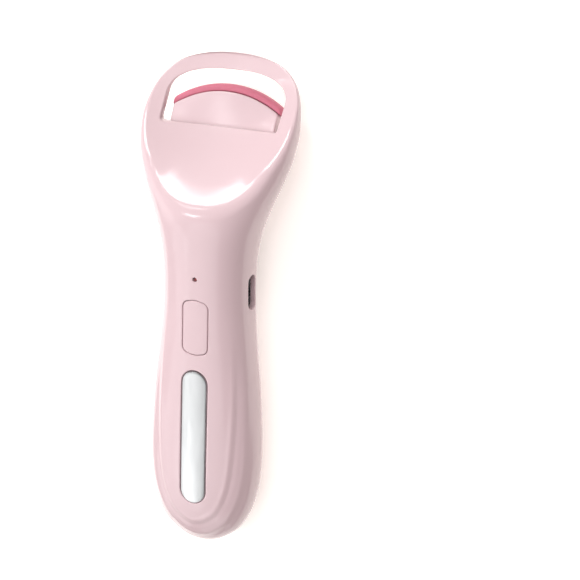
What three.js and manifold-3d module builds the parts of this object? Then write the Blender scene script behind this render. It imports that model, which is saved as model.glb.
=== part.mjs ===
// Cordless heated eyelash curler, clamp type.
// A two-piece pastel housing widens into a ring-shaped head. A heated jaw with a silicone pad
// slides up inside the ring when the press lever on the back is squeezed, and clamps the lashes
// against the ring's arch. Millimetres, +Z up: the curler lies on its back, head towards +Y.
import * as THREE from "three";
import { mergeVertices } from "three/addons/utils/BufferGeometryUtils.js";
import Module from "manifold-3d";

const wasm = await Module();
wasm.setup();

// ---------------------------------------------------------------- driving dimensions (mm)
// Half outline of the housing in plan, tail to top of the ring: [x, y], joined by a uniform spline.
const OUT = [
  [0, -69.95], [3.93, -69.35], [7.72, -67.35], [11.13, -64.3], [13.87, -59.0], [15.47, -52.5], [16.02, -45.5],
  [15.89, -38.0], [15.39, -30.5], [14.74, -23.0], [13.86, -15.5], [13.16, -8.5], [12.75, -1.7], [12.68, 5.2],
  [13.13, 12.0], [14.46, 18.5], [16.75, 24.6], [19.21, 30.5], [21.2, 36.4], [21.95, 42.4], [21.77, 47.0],
  [20.56, 51.6], [18.21, 55.4], [14.32, 58.4], [9.59, 59.94], [4.8, 60.71], [0, 60.91],
];
// Height of the widest line along the housing; the head bends back from the handle.
const ZW = [[-72, 3.8], [-56, 2.7], [-40, 1.8], [-15, 0.5], [0, -0.25], [12, -0.25], [20, -0.55], [27.5, -1.3], [33.4, -2.45], [39.5, -4.05], [45.4, -6.4], [50.9, -8.82], [55.8, -11.35], [61.2, -14.3]];
// Rise of the front face above that line, and fall of the back face below it.
const HF = [[-72, 7.0], [-60, 7.8], [-40, 8.2], [-20, 8.4], [0, 8.9], [12, 9.1], [20, 9.6], [27, 9.6], [36, 8.2], [44, 6.6], [50, 4.6], [56, 3.2], [61.2, 2.3]];
const HB = [[-72, 8.0], [-55, 9.6], [-40, 9.8], [-15, 8.6], [0, 7.9], [10, 9.2], [20, 10.9], [27, 11.2], [33, 10.6], [40, 9.0], [43, 7.2], [46.5, 3.1], [50, 2.5], [56, 2.3], [61.2, 2.1]];
// Superellipse powers of the two faces; the ring's section is squarer than the handle's.
const FRONT_POWER = [[-72, 2.35], [30, 2.35], [38, 2.45], [46, 2.9], [52, 3.4], [61.2, 3.6]];
const BACK_POWER = [[-72, 2.0], [30, 2.0], [38, 2.2], [46, 2.9], [52, 3.4], [61.2, 3.6]];
// The scooped face in front of the jaw: centre-line height and sideways dish.
const SCOOP = [[15, 14.6], [23, 9.3], [30, 4.3], [36, -0.3], [43, -5.65], [48, -8.7], [52, -10.9], [56.5, -12.9], [61.2, -15.0]];
const DISH = [[20, 0], [27, 0.002], [31, 0.0045], [36, 0.0075], [44, 0.008], [50, 0.006], [56, 0.004]];
const SCOOP_BLEND = 1.5;
// Two soft terraces run round the handle: their place between centre line and edge, by outline station, and their fade.
const TERRACE_1 = [0.586, 0.57, 0.56, 0.555, 0.57, 0.6, 0.64, 0.687, 0.72, 0.74, 0.76, 0.77];
const TERRACE_2 = [0.828, 0.8, 0.765, 0.745, 0.765, 0.81, 0.855, 0.89, 0.912, 0.93, 0.955, 0.96];
const TERRACE_FADE = [1, 1, 1, 1, 1, 1, 1, 1, 0.95, 0.75, 0.35, 0];
const TERRACE_RISE = 0.3, TERRACE_WIDTH = 0.045;

const WALL = 1.6; // shell wall
const SPLIT_DROP = 3.8; // the split line lies this far below the widest line
const SPLIT_GAP = 0.15; // half of the gap between the two shells
const SPLIT_END_Y = 42.6; // the rear shell ends here, at the mouth of the ring

const JAW_TILT = 24; // degrees the jaw's slide leans back from the handle
const JAW_TRAVEL = 3.3;
const LEVER_ANGLE = 15; // degrees of squeeze
const CRANK_R = 12.6; // hinge to drive pin
const PIVOT = { h: 22.08, n: 0.31 }; // hinge pin, in jaw coordinates
const PAD_PROUD = 2.25; // silicone above the jaw edge

const WINDOW_X = 16.9; // half width of the ring's opening
const STRIP = { y0: -56.8, y1: -19.0, half: 3.85 };
const BUTTON = { y0: -14.8, y1: 0.3, half: 3.75 };
const BUTTON_TRAVEL = 0.5;
const LED_Y = 5.9;
const USB = { y: 2.0, z: 0.55, w: 9.4, h: 3.4 };
const LEVER_FLAT = { y0: -1.6, y1: 4.2, z: -13.7 }; // flat pad of the press lever that the curler rests on
const REST_PITCH = 6.61; // degrees: turns the curler so that the lever and the handle both touch the table

// ---------------------------------------------------------------- curves
function pchip(tab) {
  const x = tab.map((p) => p[0]), y = tab.map((p) => p[1]), n = x.length;
  const h = [], d = [], m = new Array(n).fill(0);
  for (let i = 0; i < n - 1; i++) { h.push(x[i + 1] - x[i]); d.push((y[i + 1] - y[i]) / h[i]); }
  for (let i = 1; i < n - 1; i++)
    if (d[i - 1] * d[i] > 0) {
      const w1 = 2 * h[i] + h[i - 1], w2 = h[i] + 2 * h[i - 1];
      m[i] = (w1 + w2) / (w1 / d[i - 1] + w2 / d[i]);
    }
  m[0] = d[0]; m[n - 1] = d[n - 2];
  return (q) => {
    q = Math.min(Math.max(q, x[0]), x[n - 1]);
    let i = 0;
    while (i < n - 2 && q >= x[i + 1]) i++;
    const s = (q - x[i]) / h[i], s2 = s * s, s3 = s2 * s;
    return (2 * s3 - 3 * s2 + 1) * y[i] + (s3 - 2 * s2 + s) * h[i] * m[i] + (-2 * s3 + 3 * s2) * y[i + 1] + (s3 - s2) * h[i] * m[i + 1];
  };
}
const zw = pchip(ZW), hf = pchip(HF), hb = pchip(HB), scoop0 = pchip(SCOOP), dish = pchip(DISH), pf = pchip(FRONT_POWER), pb = pchip(BACK_POWER);
const stations = (a) => pchip(a.map((v, k) => [k / 26, v]));
const ter1 = stations(TERRACE_1), ter2 = stations(TERRACE_2), fade = stations(TERRACE_FADE);
const padded = [[-OUT[1][0], OUT[1][1]], ...OUT, [-OUT[25][0], OUT[25][1]]];
function outline(t) {
  const u = Math.min(Math.max(t, 0), 1) * 26, i = Math.min(Math.floor(u), 25), s = u - i;
  const r = [0, 1].map((c) => {
    const [a, b, e, f] = [0, 1, 2, 3].map((k) => padded[i + k][c]);
    return 0.5 * (2 * b + (e - a) * s + (2 * a - 5 * b + 4 * e - f) * s * s + (3 * b - a - 3 * e + f) * s * s * s);
  });
  if (t <= 0 || t >= 1) r[0] = 0;
  return r;
}
const MED_LO = -46, MED_HI = 46;
const medial = (y) =>
  y < MED_LO ? MED_LO - (1 - Math.exp((y - MED_LO) / 14)) * 7 : y > MED_HI ? MED_HI + (1 - Math.exp(-(y - MED_HI) / 10)) * 4 : y;
function smin(a, b, k) {
  const h = Math.min(Math.max(0.5 + (0.5 * (b - a)) / k, 0), 1);
  return b * (1 - h) + a * h - k * h * (1 - h);
}
const scoop = (x, y) => scoop0(y) + dish(y) * x * x;
const bump = (u) => -u * Math.exp((1 - u * u) / 2);

// One point of the housing's skin, moved in by `inset`. side +1 front, -1 back.
function skin(t, rho, side, inset = 0) {
  const [ox, oy] = outline(t), m = medial(oy), L = Math.hypot(ox, oy - m);
  const q = rho * Math.max(1 - inset / Math.max(L, 1e-6), 0.02);
  const x = ox * q, y = m + (oy - m) * q;
  const r = Math.min(rho, 1);
  const p = (side < 0 ? pb : pf)(y), e = Math.pow(1 - Math.pow(r, p), 1 / p);
  if (side < 0) return [x, y, zw(y) - Math.max(hb(y) - inset, 0.3) * e];
  let z = zw(y) + Math.max(hf(y) - inset, 0.3) * e;
  const f = t < 11 / 26 ? fade(t) : 0;
  if (f > 0) z += f * TERRACE_RISE * (bump((r - ter1(t)) / TERRACE_WIDTH) + bump((r - ter2(t)) / TERRACE_WIDTH));
  return [x, y, smin(z, scoop(x, y) - inset, SCOOP_BLEND)];
}

// ---------------------------------------------------------------- solids
function solid(geometry, matrix) {
  let g = geometry.clone();
  g.deleteAttribute("normal"); g.deleteAttribute("uv");
  if (matrix) g.applyMatrix4(matrix);
  g = mergeVertices(g, 1e-4);
  const p = g.attributes.position.array, idx = g.index.array, tri = [];
  for (let i = 0; i < idx.length; i += 3) {
    const [a, b, c] = [idx[i], idx[i + 1], idx[i + 2]];
    if (a !== b && b !== c && a !== c) tri.push(a, b, c);
  }
  return new wasm.Manifold(new wasm.Mesh({ numProp: 3, vertProperties: new Float32Array(p), triVerts: new Uint32Array(tri) }));
}
function fromRaw(verts, tris) {
  const g = new THREE.BufferGeometry();
  g.setAttribute("position", new THREE.BufferAttribute(new Float32Array(verts.flat()), 3));
  g.setIndex(tris.flat());
  return solid(g);
}
// The closed lens of the housing, moved in by inset (front and back can be moved separately).
function lens({ ts, rf, rb, inset = 0, drop = null, front = true }) {
  const verts = [], tris = [], rows = [];
  const prof = [...rf.map((r) => [r, 1]), ...rb.slice(1).map((r) => [r, -1])];
  const at = (t, r, side) => {
    const p = skin(t, r, side, inset);
    if (drop !== null && side > 0) p[2] -= drop;
    return p;
  };
  for (const s of [1, -1])
    rows.push(ts.map((t) => prof.map(([r, side]) => { const p = at(t, r, side); verts.push([s * p[0], p[1], p[2]]); return verts.length - 1; })));
  const n = prof.length;
  for (const [k, rw] of rows.entries())
    for (let i = 0; i < ts.length - 1; i++)
      for (let j = 0; j < n - 1; j++) {
        const a = rw[i][j], b = rw[i][j + 1], c = rw[i + 1][j + 1], d = rw[i + 1][j];
        if (k === 0) tris.push([a, b, c], [a, c, d]); else tris.push([a, c, b], [a, d, c]);
      }
  return fromRaw(verts, tris);
}
const lin = (a, b, n) => Array.from({ length: n + 1 }, (_, i) => a + ((b - a) * i) / n);

// Plan shapes. pts: [x, y] anticlockwise.
function shapeOf(pts) { return new THREE.Shape(pts.map(([x, y]) => new THREE.Vector2(x, y))); }
function prism(pts, z0, z1, matrix) {
  const g = new THREE.ExtrudeGeometry(shapeOf(pts), { depth: z1 - z0, bevelEnabled: false, steps: 1, curveSegments: 12 });
  g.translate(0, 0, z0);
  return solid(g, matrix);
}
const DEG = Math.PI / 180;
const cj = Math.cos(JAW_TILT * DEG), sj = Math.sin(JAW_TILT * DEG);
// Jaw frame: x, h along the slide, n out of the jaw's front face.
const JAW = new THREE.Matrix4().makeBasis(new THREE.Vector3(1, 0, 0), new THREE.Vector3(0, cj, -sj), new THREE.Vector3(0, sj, cj));
const jawYZ = (h, n) => [cj * h + sj * n, -sj * h + cj * n];
// Side frame: local x = Y, local y = Z, extruded along X.
const SIDE = new THREE.Matrix4().makeBasis(new THREE.Vector3(0, 1, 0), new THREE.Vector3(0, 0, 1), new THREE.Vector3(1, 0, 0));
const box = (x0, x1, y0, y1, z0, z1, matrix) => {
  const g = new THREE.BoxGeometry(x1 - x0, y1 - y0, z1 - z0);
  g.translate((x0 + x1) / 2, (y0 + y1) / 2, (z0 + z1) / 2);
  return solid(g, matrix);
};
// Cylinder from point a to point b.
function rod(a, b, r, seg = 20, r2 = r) {
  const va = new THREE.Vector3(...a), vb = new THREE.Vector3(...b), d = vb.clone().sub(va), L = d.length();
  const g = new THREE.CylinderGeometry(r2, r, L, seg, 1);
  g.translate(0, L / 2, 0);
  const q = new THREE.Quaternion().setFromUnitVectors(new THREE.Vector3(0, 1, 0), d.normalize());
  return solid(g, new THREE.Matrix4().compose(va, q, new THREE.Vector3(1, 1, 1)));
}
// A tube of round section along points.
function tube(points, r, sides = 8, steps = 10) {
  const sh = new THREE.Shape();
  for (let i = 0; i < sides; i++) {
    const a = (2 * Math.PI * i) / sides;
    if (i) sh.lineTo(r * Math.cos(a), r * Math.sin(a)); else sh.moveTo(r * Math.cos(a), r * Math.sin(a));
  }
  const path = new THREE.CatmullRomCurve3(points.map((p) => new THREE.Vector3(...p)));
  return solid(new THREE.ExtrudeGeometry(sh, { steps, extrudePath: path, bevelEnabled: false }));
}
function stadium(cx, y0, y1, half, seg = 8) {
  const p = [];
  for (let i = 0; i <= seg; i++) { const a = Math.PI * (i / seg); p.push([cx + half * Math.cos(a), y1 - half + half * Math.sin(a)]); }
  for (let i = 0; i <= seg; i++) { const a = Math.PI * (1 + i / seg); p.push([cx + half * Math.cos(a), y0 + half + half * Math.sin(a)]); }
  return p;
}
// Rounded rectangle with gently arched ends.
function buttonShape(y0, y1, half, grow = 0) {
  const h = half + grow, a = y0 - grow, b = y1 + grow, r = 1.9 + grow, arch = 0.35, p = [];
  const end = (yEdge, s) => {
    const out = [];
    for (let i = 0; i <= 5; i++) { const th = (Math.PI / 2) * (i / 5); out.push([h - r + r * Math.cos(th), yEdge - s * (r + arch) + s * r * Math.sin(th)]); }
    for (let i = 1; i < 4; i++) { const x = (h - r) * (1 - i / 2); out.push([x, yEdge - s * arch * (x / (h - r)) ** 2]); }
    for (let i = 5; i >= 0; i--) { const th = (Math.PI / 2) * (i / 5); out.push([-(h - r + r * Math.cos(th)), yEdge - s * (r + arch) + s * r * Math.sin(th)]); }
    return out;
  };
  p.push(...end(b, 1), ...end(a, -1).reverse());
  return p;
}

// ---------------------------------------------------------------- housing
const tsFine = [...lin(0, 6 / 26, 14), ...lin(6 / 26, 15 / 26, 12).slice(1), ...lin(15 / 26, 1, 26).slice(1)];
const rfFine = [0, 0.2, 0.38, 0.5, 0.56, 0.61, 0.66, 0.71, 0.76, 0.81, 0.86, 0.91, 0.95, 0.98, 1];
const rbFine = [1, 0.975, 0.92, 0.83, 0.7, 0.5, 0.25, 0];
const body = lens({ ts: tsFine, rf: rfFine, rb: rbFine });

// opening of the ring, cut straight along Z
const WINDOW = (() => {
  const top = [[16.9, 50.4], [16.4, 52.1], [15.2, 53.6], [13.8, 54.5], [12.1, 55.3], [10.3, 55.8], [8.5, 56.2], [5.5, 56.6], [2.6, 56.72]];
  const bottom = [[0, 42.9], [5, 43.0], [10, 43.3], [14, 43.7], [WINDOW_X, 43.95]];
  const right = [...bottom, ...top, [0, 56.75]];
  const left = right.slice(1, -1).reverse().map(([x, y]) => [-x, y]);
  return [...right, ...left];
})();
const windowCut = prism(WINDOW, -60, 40);

// inner room of the two shells
function lensPart(inset, ts, rf, rb) { return lens({ ts, rf, rb, inset }); }
const cavity = lensPart(WALL, lin(0, 1, 34), [0, 0.3, 0.55, 0.75, 0.9, 1], [1, 0.93, 0.78, 0.5, 0]).intersect(box(-40, 40, -80, 41.2, -60, 60));
// tunnel that guides the jaw, open at the mouth of the ring
// local x = h, local y = n, extruded along X
const JAW_SIDE = new THREE.Matrix4().makeBasis(new THREE.Vector3(0, cj, -sj), new THREE.Vector3(0, sj, cj), new THREE.Vector3(1, 0, 0));
const JAW_ACROSS = new THREE.Matrix4().makeBasis(new THREE.Vector3(1, 0, 0), new THREE.Vector3(0, sj, cj), new THREE.Vector3(0, -cj, sj));
const tunnel = prism([[-15.4, 6.1], [15.4, 6.1], ...lin(15.4, -15.4, 12).map((x) => [x, 11.6 + 0.7 * (x / 15) ** 2])], -60, -35.2, JAW_ACROSS)
  .intersect(box(-40, 40, -80, 46, -60, 60));
const room = cavity.add(tunnel);

// split between the shells
function splitCutter(offset, endY) {
  const pts = [[-90, -60]];
  pts.push([endY, -60]);
  for (const y of lin(endY, -60, 22)) pts.push([y, zw(y) - SPLIT_DROP + offset]);
  pts.push([-90, zw(-60) - SPLIT_DROP + offset]);
  return prism(pts, -40, 40, SIDE);
}

const [pivotY, pivotZ] = jawYZ(PIVOT.h, PIVOT.n);
const ringed = body.subtract(windowCut);
const largest = (man) => man.decompose().sort((a, b) => b.volume() - a.volume())[0];
let frontShell = ringed.subtract(splitCutter(SPLIT_GAP, SPLIT_END_Y + 0.15)).subtract(room);
let rearShell = ringed.intersect(splitCutter(-SPLIT_GAP, SPLIT_END_Y - 0.15)).subtract(room);

// small grooves in the ring's inner walls, in line with the jaw
for (const s of [1, -1]) {
  const x0 = s > 0 ? 16.5 : -17.8, x1 = s > 0 ? 17.8 : -16.5;
  frontShell = frontShell.subtract(box(x0, x1, 43.6, 47.2, 9.6, 11.2, JAW));
}

// strip recess, button, lamp and socket openings
frontShell = frontShell.subtract(
  prism(stadium(0, STRIP.y0, STRIP.y1, STRIP.half), 0, 30).subtract(lens({ ts: lin(0, 13 / 26, 16).concat([0.7, 0.85, 1]), rf: [0, 0.15, 0.3, 0.45, 0.6, 0.8, 1], rb: [1, 0.6, 0], inset: 0.95 })),
);
frontShell = frontShell.subtract(prism(buttonShape(BUTTON.y0, BUTTON.y1, BUTTON.half), 2, 30));
frontShell = frontShell.subtract(rod([0, LED_Y, 2], [0, LED_Y, 20], 0.62, 14));
{
  const pts = stadium(0, -USB.w / 2, USB.w / 2, USB.h / 2, 8).map(([a, b]) => [b + USB.y, a + USB.z]);
  frontShell = frontShell.subtract(prism(pts.reverse(), 9, 20, SIDE));
}

// screw places: [x, y]
const SCREWS = [[0, -62.2], [7.7, -15.6], [-7.7, -15.6], [11.0, 28.2], [-11.0, 28.2]];
const screwSeat = SCREWS.map(([x, y]) => {
  // outside surface of the rear shell at this place
  let best = null;
  for (const t of lin(0, 1, 400)) for (const r of lin(0, 1, 40)) {
    const p = skin(t, r, -1);
    const d = Math.hypot(p[0] - Math.abs(x), p[1] - y);
    if (!best || d < best[0]) best = [d, p[2]];
  }
  return best[1];
});
const inner = lensPart(0.5, lin(0, 1, 40), [0, 0.4, 0.7, 0.9, 1], [1, 0.9, 0.6, 0]);
for (const [i, [x, y]] of SCREWS.entries()) {
  const zs = screwSeat[i]; // rear surface
  const head = zs + 1.9; // seat of the head
  // boss on the front shell, from the split upwards
  const bossLow = Math.max(zw(y) - SPLIT_DROP + SPLIT_GAP + 0.15, head + 1.4);
  let boss = rod([x, y, bossLow], [x, y, 14], 2.0, 16).intersect(inner);
  boss = boss.subtract(rod([x, y, bossLow - 1], [x, y, bossLow + 4.6], 0.85, 12));
  frontShell = frontShell.add(boss);
  // pillar on the rear shell with a counterbore for the head
  let pillar = rod([x, y, zs - 2], [x, y, bossLow - 0.5], 2.5, 16).intersect(inner);
  rearShell = rearShell.add(pillar);
  rearShell = rearShell.subtract(rod([x, y, zs - 4], [x, y, head], 2.1, 18)).subtract(rod([x, y, zs - 4], [x, y, bossLow + 2], 1.25, 14));
}

// lever slot and hinge ears in the rear shell
const rrect = (x0, x1, y0, y1, r, seg = 4) => {
  const p = [], arcTo = (cx, cy, a0) => { for (let i = 0; i <= seg; i++) { const a = a0 + (Math.PI / 2) * (i / seg); p.push([cx + r * Math.cos(a), cy + r * Math.sin(a)]); } };
  arcTo(x1 - r, y1 - r, 0); arcTo(x0 + r, y1 - r, Math.PI / 2); arcTo(x0 + r, y0 + r, Math.PI); arcTo(x1 - r, y0 + r, 1.5 * Math.PI);
  return p;
};
const slotPts = rrect(-6.2, 6.2, -5.2, 24.9, 1.4);
const earBlock = box(-8.4, 8.4, pivotY - 3.3, pivotY + 3.3, -30, -4.4).intersect(inner);
rearShell = rearShell.add(earBlock).subtract(prism(slotPts, -40, 10));
rearShell = rearShell.subtract(rod([-7.55, pivotY, pivotZ], [7.55, pivotY, pivotZ], 1.1, 16));
// fixed spring stop under the scoop
const springStop = box(-2.6, 2.6, 35.9, 37.0, 8.3, 20, JAW).intersect(inner);
frontShell = frontShell.add(springStop);

// ---------------------------------------------------------------- trim strip, button, lamp
const stripSkin = (inset) => lens({ ts: lin(0, 13 / 26, 16).concat([0.7, 0.85, 1]), rf: [0, 0.1, 0.2, 0.3, 0.45, 0.6, 0.8, 1], rb: [1, 0.6, 0], inset });
const trimStrip = prism(stadium(0, STRIP.y0 + 0.25, STRIP.y1 - 0.25, STRIP.half - 0.25), 0, 30).intersect(stripSkin(0.1)).subtract(stripSkin(0.72));
const buttonTs = [0, 0.2, 0.3, ...lin(9 / 26, 14 / 26, 10), 0.6, 0.8, 1];
const buttonSkin = (inset) => lens({ ts: buttonTs, rf: [0, 0.1, 0.2, 0.3, 0.5, 0.75, 1], rb: [1, 0.6, 0], inset });
const powerButton = prism(buttonShape(BUTTON.y0, BUTTON.y1, BUTTON.half, -0.3), 2, 30)
  .intersect(buttonSkin(0.05)).subtract(buttonSkin(2.3))
  .add(prism(buttonShape(BUTTON.y0, BUTTON.y1, BUTTON.half, 0.8), 2, 30).intersect(buttonSkin(1.95)).subtract(buttonSkin(2.6)))
  .add(rod([0, -6.9, 5.75], [0, -6.9, 7.0], 1.3, 14));
const lightPipe = rod([0, LED_Y, 4.5], [0, LED_Y, 8.15], 0.36, 12).add(rod([0, LED_Y, 4.5], [0, LED_Y, 5.2], 0.9, 14));

// ---------------------------------------------------------------- electronics
const PCB_Z0 = 2.45, PCB_Z1 = 3.25;
let pcb = prism([[-7.5, -11.6], [7.5, -11.6], [9.3, -9.8], [9.3, 12.2], [7.6, 14], [-7.6, 14], [-9.3, 12.2], [-9.3, -9.8]], PCB_Z0, PCB_Z1);
for (const s of [1, -1]) pcb = pcb.subtract(rod([s * 7.6, 10.5, 0], [s * 7.6, 10.5, 6], 0.6, 12));
const tactSwitch = box(-2.2, 2.2, -9.1, -4.7, PCB_Z1 + 0.05, 4.75).add(rod([0, -6.9, 4.5], [0, -6.9, 5.1], 0.85, 14));
const led = box(-0.8, 0.8, LED_Y - 0.5, LED_Y + 0.5, PCB_Z1 + 0.05, PCB_Z1 + 0.75);
const chargeIc = box(-6.6, -2.8, -2.6, 1.4, PCB_Z1 + 0.05, PCB_Z1 + 1.2);
const heaterIc = box(2.9, 6.7, 5.2, 9.4, PCB_Z1 + 0.05, PCB_Z1 + 1.4);
const usbOuter = stadium(0, -8.94 / 2, 8.94 / 2, 1.6, 8).map(([a, b]) => [b + USB.y, a + USB.z]).reverse();
const usbInner = stadium(0, -8.3 / 2, 8.3 / 2, 1.28, 8).map(([a, b]) => [b + USB.y, a + USB.z]).reverse();
const usbShell = prism(usbOuter, 4.2, 11.35, SIDE).subtract(prism(usbInner, 5.0, 13, SIDE));
const usbTongue = box(5.3, 10.6, USB.y - 3.3, USB.y + 3.3, USB.z - 0.35, USB.z + 0.35);

const battery = (() => {
  const s = new THREE.Shape();
  const [w, h, r] = [9.6, 3.9, 1.6];
  s.moveTo(-w + r, -h); s.lineTo(w - r, -h); s.absarc(w - r, -h + r, r, -Math.PI / 2, 0, false);
  s.lineTo(w, h - r); s.absarc(w - r, h - r, r, 0, Math.PI / 2, false);
  s.lineTo(-w + r, h); s.absarc(-w + r, h - r, r, Math.PI / 2, Math.PI, false);
  s.lineTo(-w, -h + r); s.absarc(-w + r, -h + r, r, Math.PI, 1.5 * Math.PI, false);
  const g = new THREE.ExtrudeGeometry(s, { depth: 35.2, bevelEnabled: false, steps: 1, curveSegments: 4 });
  // local z runs towards the head
  const mm = new THREE.Matrix4().makeBasis(new THREE.Vector3(-1, 0, 0), new THREE.Vector3(0, 0, 1), new THREE.Vector3(0, 1, 0));
  mm.setPosition(0, -56.4, 1.9);
  return solid(g, mm);
})();
const batteryFoam = box(-6, 6, -54, -28, 6.1, 7.4);
const leadRed = tube([[2.6, -20.2, 1.6], [2.9, -17.6, 1.9], [3.2, -14.6, 1.2], [3.3, -12.2, 1.4]], 0.5, 8, 8);
const leadBlack = tube([[-2.6, -20.2, 1.6], [-2.9, -17.6, 1.9], [-3.2, -14.6, 1.2], [-3.3, -12.2, 1.4]], 0.5, 8, 8);
const heaterLead = (s) => {
  const p = (h, n) => jawYZ(h, n);
  const [y1, z1] = p(27, 9.5), [y2, z2] = p(33, 9.3), [y3, z3] = p(36.6, 9.0);
  return tube([[s * 7.6, 13.2, 4.0], [s * 7.5, 16.5, 4.6], [s * 7.4, y1, z1], [s * 8.2, y2, z2], [s * 8.8, y3, z3]], 0.45, 8, 12);
};

// ---------------------------------------------------------------- jaw
const ARC_R = 27.8, ARC_TOP = 51.0, TONGUE_X = 14.95;
const arc = (x) => ARC_TOP - (ARC_R - Math.sqrt(ARC_R * ARC_R - x * x));
const arcPts = (x0, x1, n, off) => lin(x0, x1, n).map((x) => [x, arc(x) + off]);
// tongue front face, n as a function of x and h
function tongueFront(x, h) {
  const g = Math.min(Math.max((h - 42) / 8.5, 0), 1), q = (x / 15) ** 2;
  return 11.2 + 1.4 * g * (1 - q) + 0.7 * (1 - g) * q;
}
const jawCover = (() => {
  const nx = 14, hs = [0, 0.42, 0.56, 0.7, 0.85, 1], h0 = 37.3, verts = [], tris = [];
  const xs = lin(-TONGUE_X, TONGUE_X, nx), F = [], B = [];
  for (const x of xs) {
    const h1 = arc(x), colF = [], colB = [];
    for (const s of hs) {
      const h = h0 + (h1 - h0) * s;
      verts.push([x, h, tongueFront(x, h)]); colF.push(verts.length - 1);
      verts.push([x, h, 9.9]); colB.push(verts.length - 1);
    }
    F.push(colF); B.push(colB);
  }
  const quad = (a, b, c, d) => tris.push([a, b, c], [a, c, d]);
  for (let i = 0; i < nx; i++) for (let j = 0; j < hs.length - 1; j++) {
    quad(F[i][j], F[i + 1][j], F[i + 1][j + 1], F[i][j + 1]);
    quad(B[i][j], B[i][j + 1], B[i + 1][j + 1], B[i + 1][j]);
  }
  const J = hs.length - 1;
  for (let i = 0; i < nx; i++) { quad(F[i][0], B[i][0], B[i + 1][0], F[i + 1][0]); quad(F[i][J], F[i + 1][J], B[i + 1][J], B[i][J]); }
  for (let j = 0; j < J; j++) { quad(F[0][j], F[0][j + 1], B[0][j + 1], B[0][j]); quad(F[nx][j], B[nx][j], B[nx][j + 1], F[nx][j + 1]); }
  const g = new THREE.BufferGeometry();
  g.setAttribute("position", new THREE.BufferAttribute(new Float32Array(verts.flat()), 3)); g.setIndex(tris.flat());
  return solid(g, JAW);
})();
const plateShape = (x, low, off) => [[-x, low], [x, low], ...arcPts(x, -x, 12, off)];
const heaterPlate = prism(plateShape(14.0, 44.2, 0), 8.95, 9.6, JAW)
  .add(prism([...arcPts(-14.0, 14.0, 12, -1.1), ...arcPts(14.0, -14.0, 12, 0)], 7.75, 9.2, JAW));
const ptc = box(-7, 7, 45.2, 48.4, 7.7, 8.65, JAW);
const thermistor = rod([10.2, ...jawYZ(44.9, 8.2)], [12.6, ...jawYZ(44.9, 8.2)], 0.42, 12);
const jawBack = (() => {
  let b = prism(plateShape(14.6, 36.6, -0.1), 6.4, 7.4, JAW);
  // narrow tail with a raised bracket for the drive pin and the spring seat
  b = b.add(prism([[-3.3, 18.6], [3.3, 18.6], [3.3, 37.2], [-3.3, 37.2]], 6.4, 7.4, JAW));
  b = b.add(prism([[18.6, 7.3], [26.2, 7.3], [26.2, 11.9], [22.2, 14.5], [18.6, 14.5]], -3.3, 3.3, JAW_SIDE));
  const [py, pz] = [20.4355, 12.802];
  const slot = [[-0.97, -1.1], [0.97, -1.1], [0.97, 1.15], [-0.97, 1.15]].map(([a, c]) => [py + a, pz + c]);
  b = b.subtract(prism(slot, -10, 10, JAW_SIDE));
  // side rims that close the jaw behind the cover
  for (const s of [1, -1]) b = b.add(prism(s > 0 ? [[14.05, 38.4], [14.6, 38.4], [14.6, arc(14.6) - 0.1], [14.05, arc(14.05) - 0.1]] : [[-14.6, 38.4], [-14.05, 38.4], [-14.05, arc(14.05) - 0.1], [-14.6, arc(14.6) - 0.1]], 7.3, 9.6, JAW));
  for (const s of [1, -1]) b = b.subtract(rod([s * 11.2, ...jawYZ(40.4, 2)], [s * 11.2, ...jawYZ(40.4, 9)], 0.9, 12)).subtract(rod([s * 11.2, ...jawYZ(40.4, 5)], [s * 11.2, ...jawYZ(40.4, 6.95)], 1.6, 16));
  return b;
})();
let jawCoverDrilled = jawCover;
for (const s of [1, -1]) {
  jawCoverDrilled = jawCoverDrilled.add(rod([s * 11.2, ...jawYZ(40.4, 7.7)], [s * 11.2, ...jawYZ(40.4, 10.2)], 1.6, 14));
  jawCoverDrilled = jawCoverDrilled.subtract(rod([s * 11.2, ...jawYZ(40.4, 6.5)], [s * 11.2, ...jawYZ(40.4, 10.4)], 0.85, 12));
}
const jawScrew = (s) => rod([s * 11.2, ...jawYZ(40.4, 6.42)], [s * 11.2, ...jawYZ(40.4, 6.9)], 1.3, 14).add(rod([s * 11.2, ...jawYZ(40.4, 6.8)], [s * 11.2, ...jawYZ(40.4, 9.8)], 0.6, 10));
const pad = (() => {
  // rounded bar along the arc; section in (h, n)
  const nx = 22, X = 15.75, sec = [[0.3, 7.9], [0.3, 12.0], [0.9, 12.35], [1.7, 12.2], [2.25, 11.5], [2.55, 10.4], [2.55, 9.2], [2.2, 8.2], [1.2, 7.8]];
  const verts = [], tris = [], rows = [];
  for (const x of lin(-X, X, nx)) {
    const a = arc(x), q = (x / 15) ** 2, shift = -1.15 * q; // the front edge falls back towards the ends
    const endF = 1 - Math.max(0, (Math.abs(x) - 15.0) / 0.75) * 0.35;
    const row = sec.map(([h, n]) => { verts.push([x, a + 0.3 + (h - 0.3) * endF, (n - 10) * endF + 10 + shift * ((n - 7.8) / 4.5)]); return verts.length - 1; });
    rows.push(row);
  }
  const m = sec.length;
  for (let i = 0; i < nx; i++) for (let j = 0; j < m; j++) {
    const k = (j + 1) % m;
    tris.push([rows[i][j], rows[i + 1][j], rows[i + 1][k]], [rows[i][j], rows[i + 1][k], rows[i][k]]);
  }
  for (let j = 1; j < m - 1; j++) { tris.push([rows[0][0], rows[0][j], rows[0][j + 1]]); tris.push([rows[nx][0], rows[nx][j + 1], rows[nx][j]]); }
  const g = new THREE.BufferGeometry();
  g.setAttribute("position", new THREE.BufferAttribute(new Float32Array(verts.flat()), 3)); g.setIndex(tris.flat());
  let s = solid(g, JAW);
  return s;
})();

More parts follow.
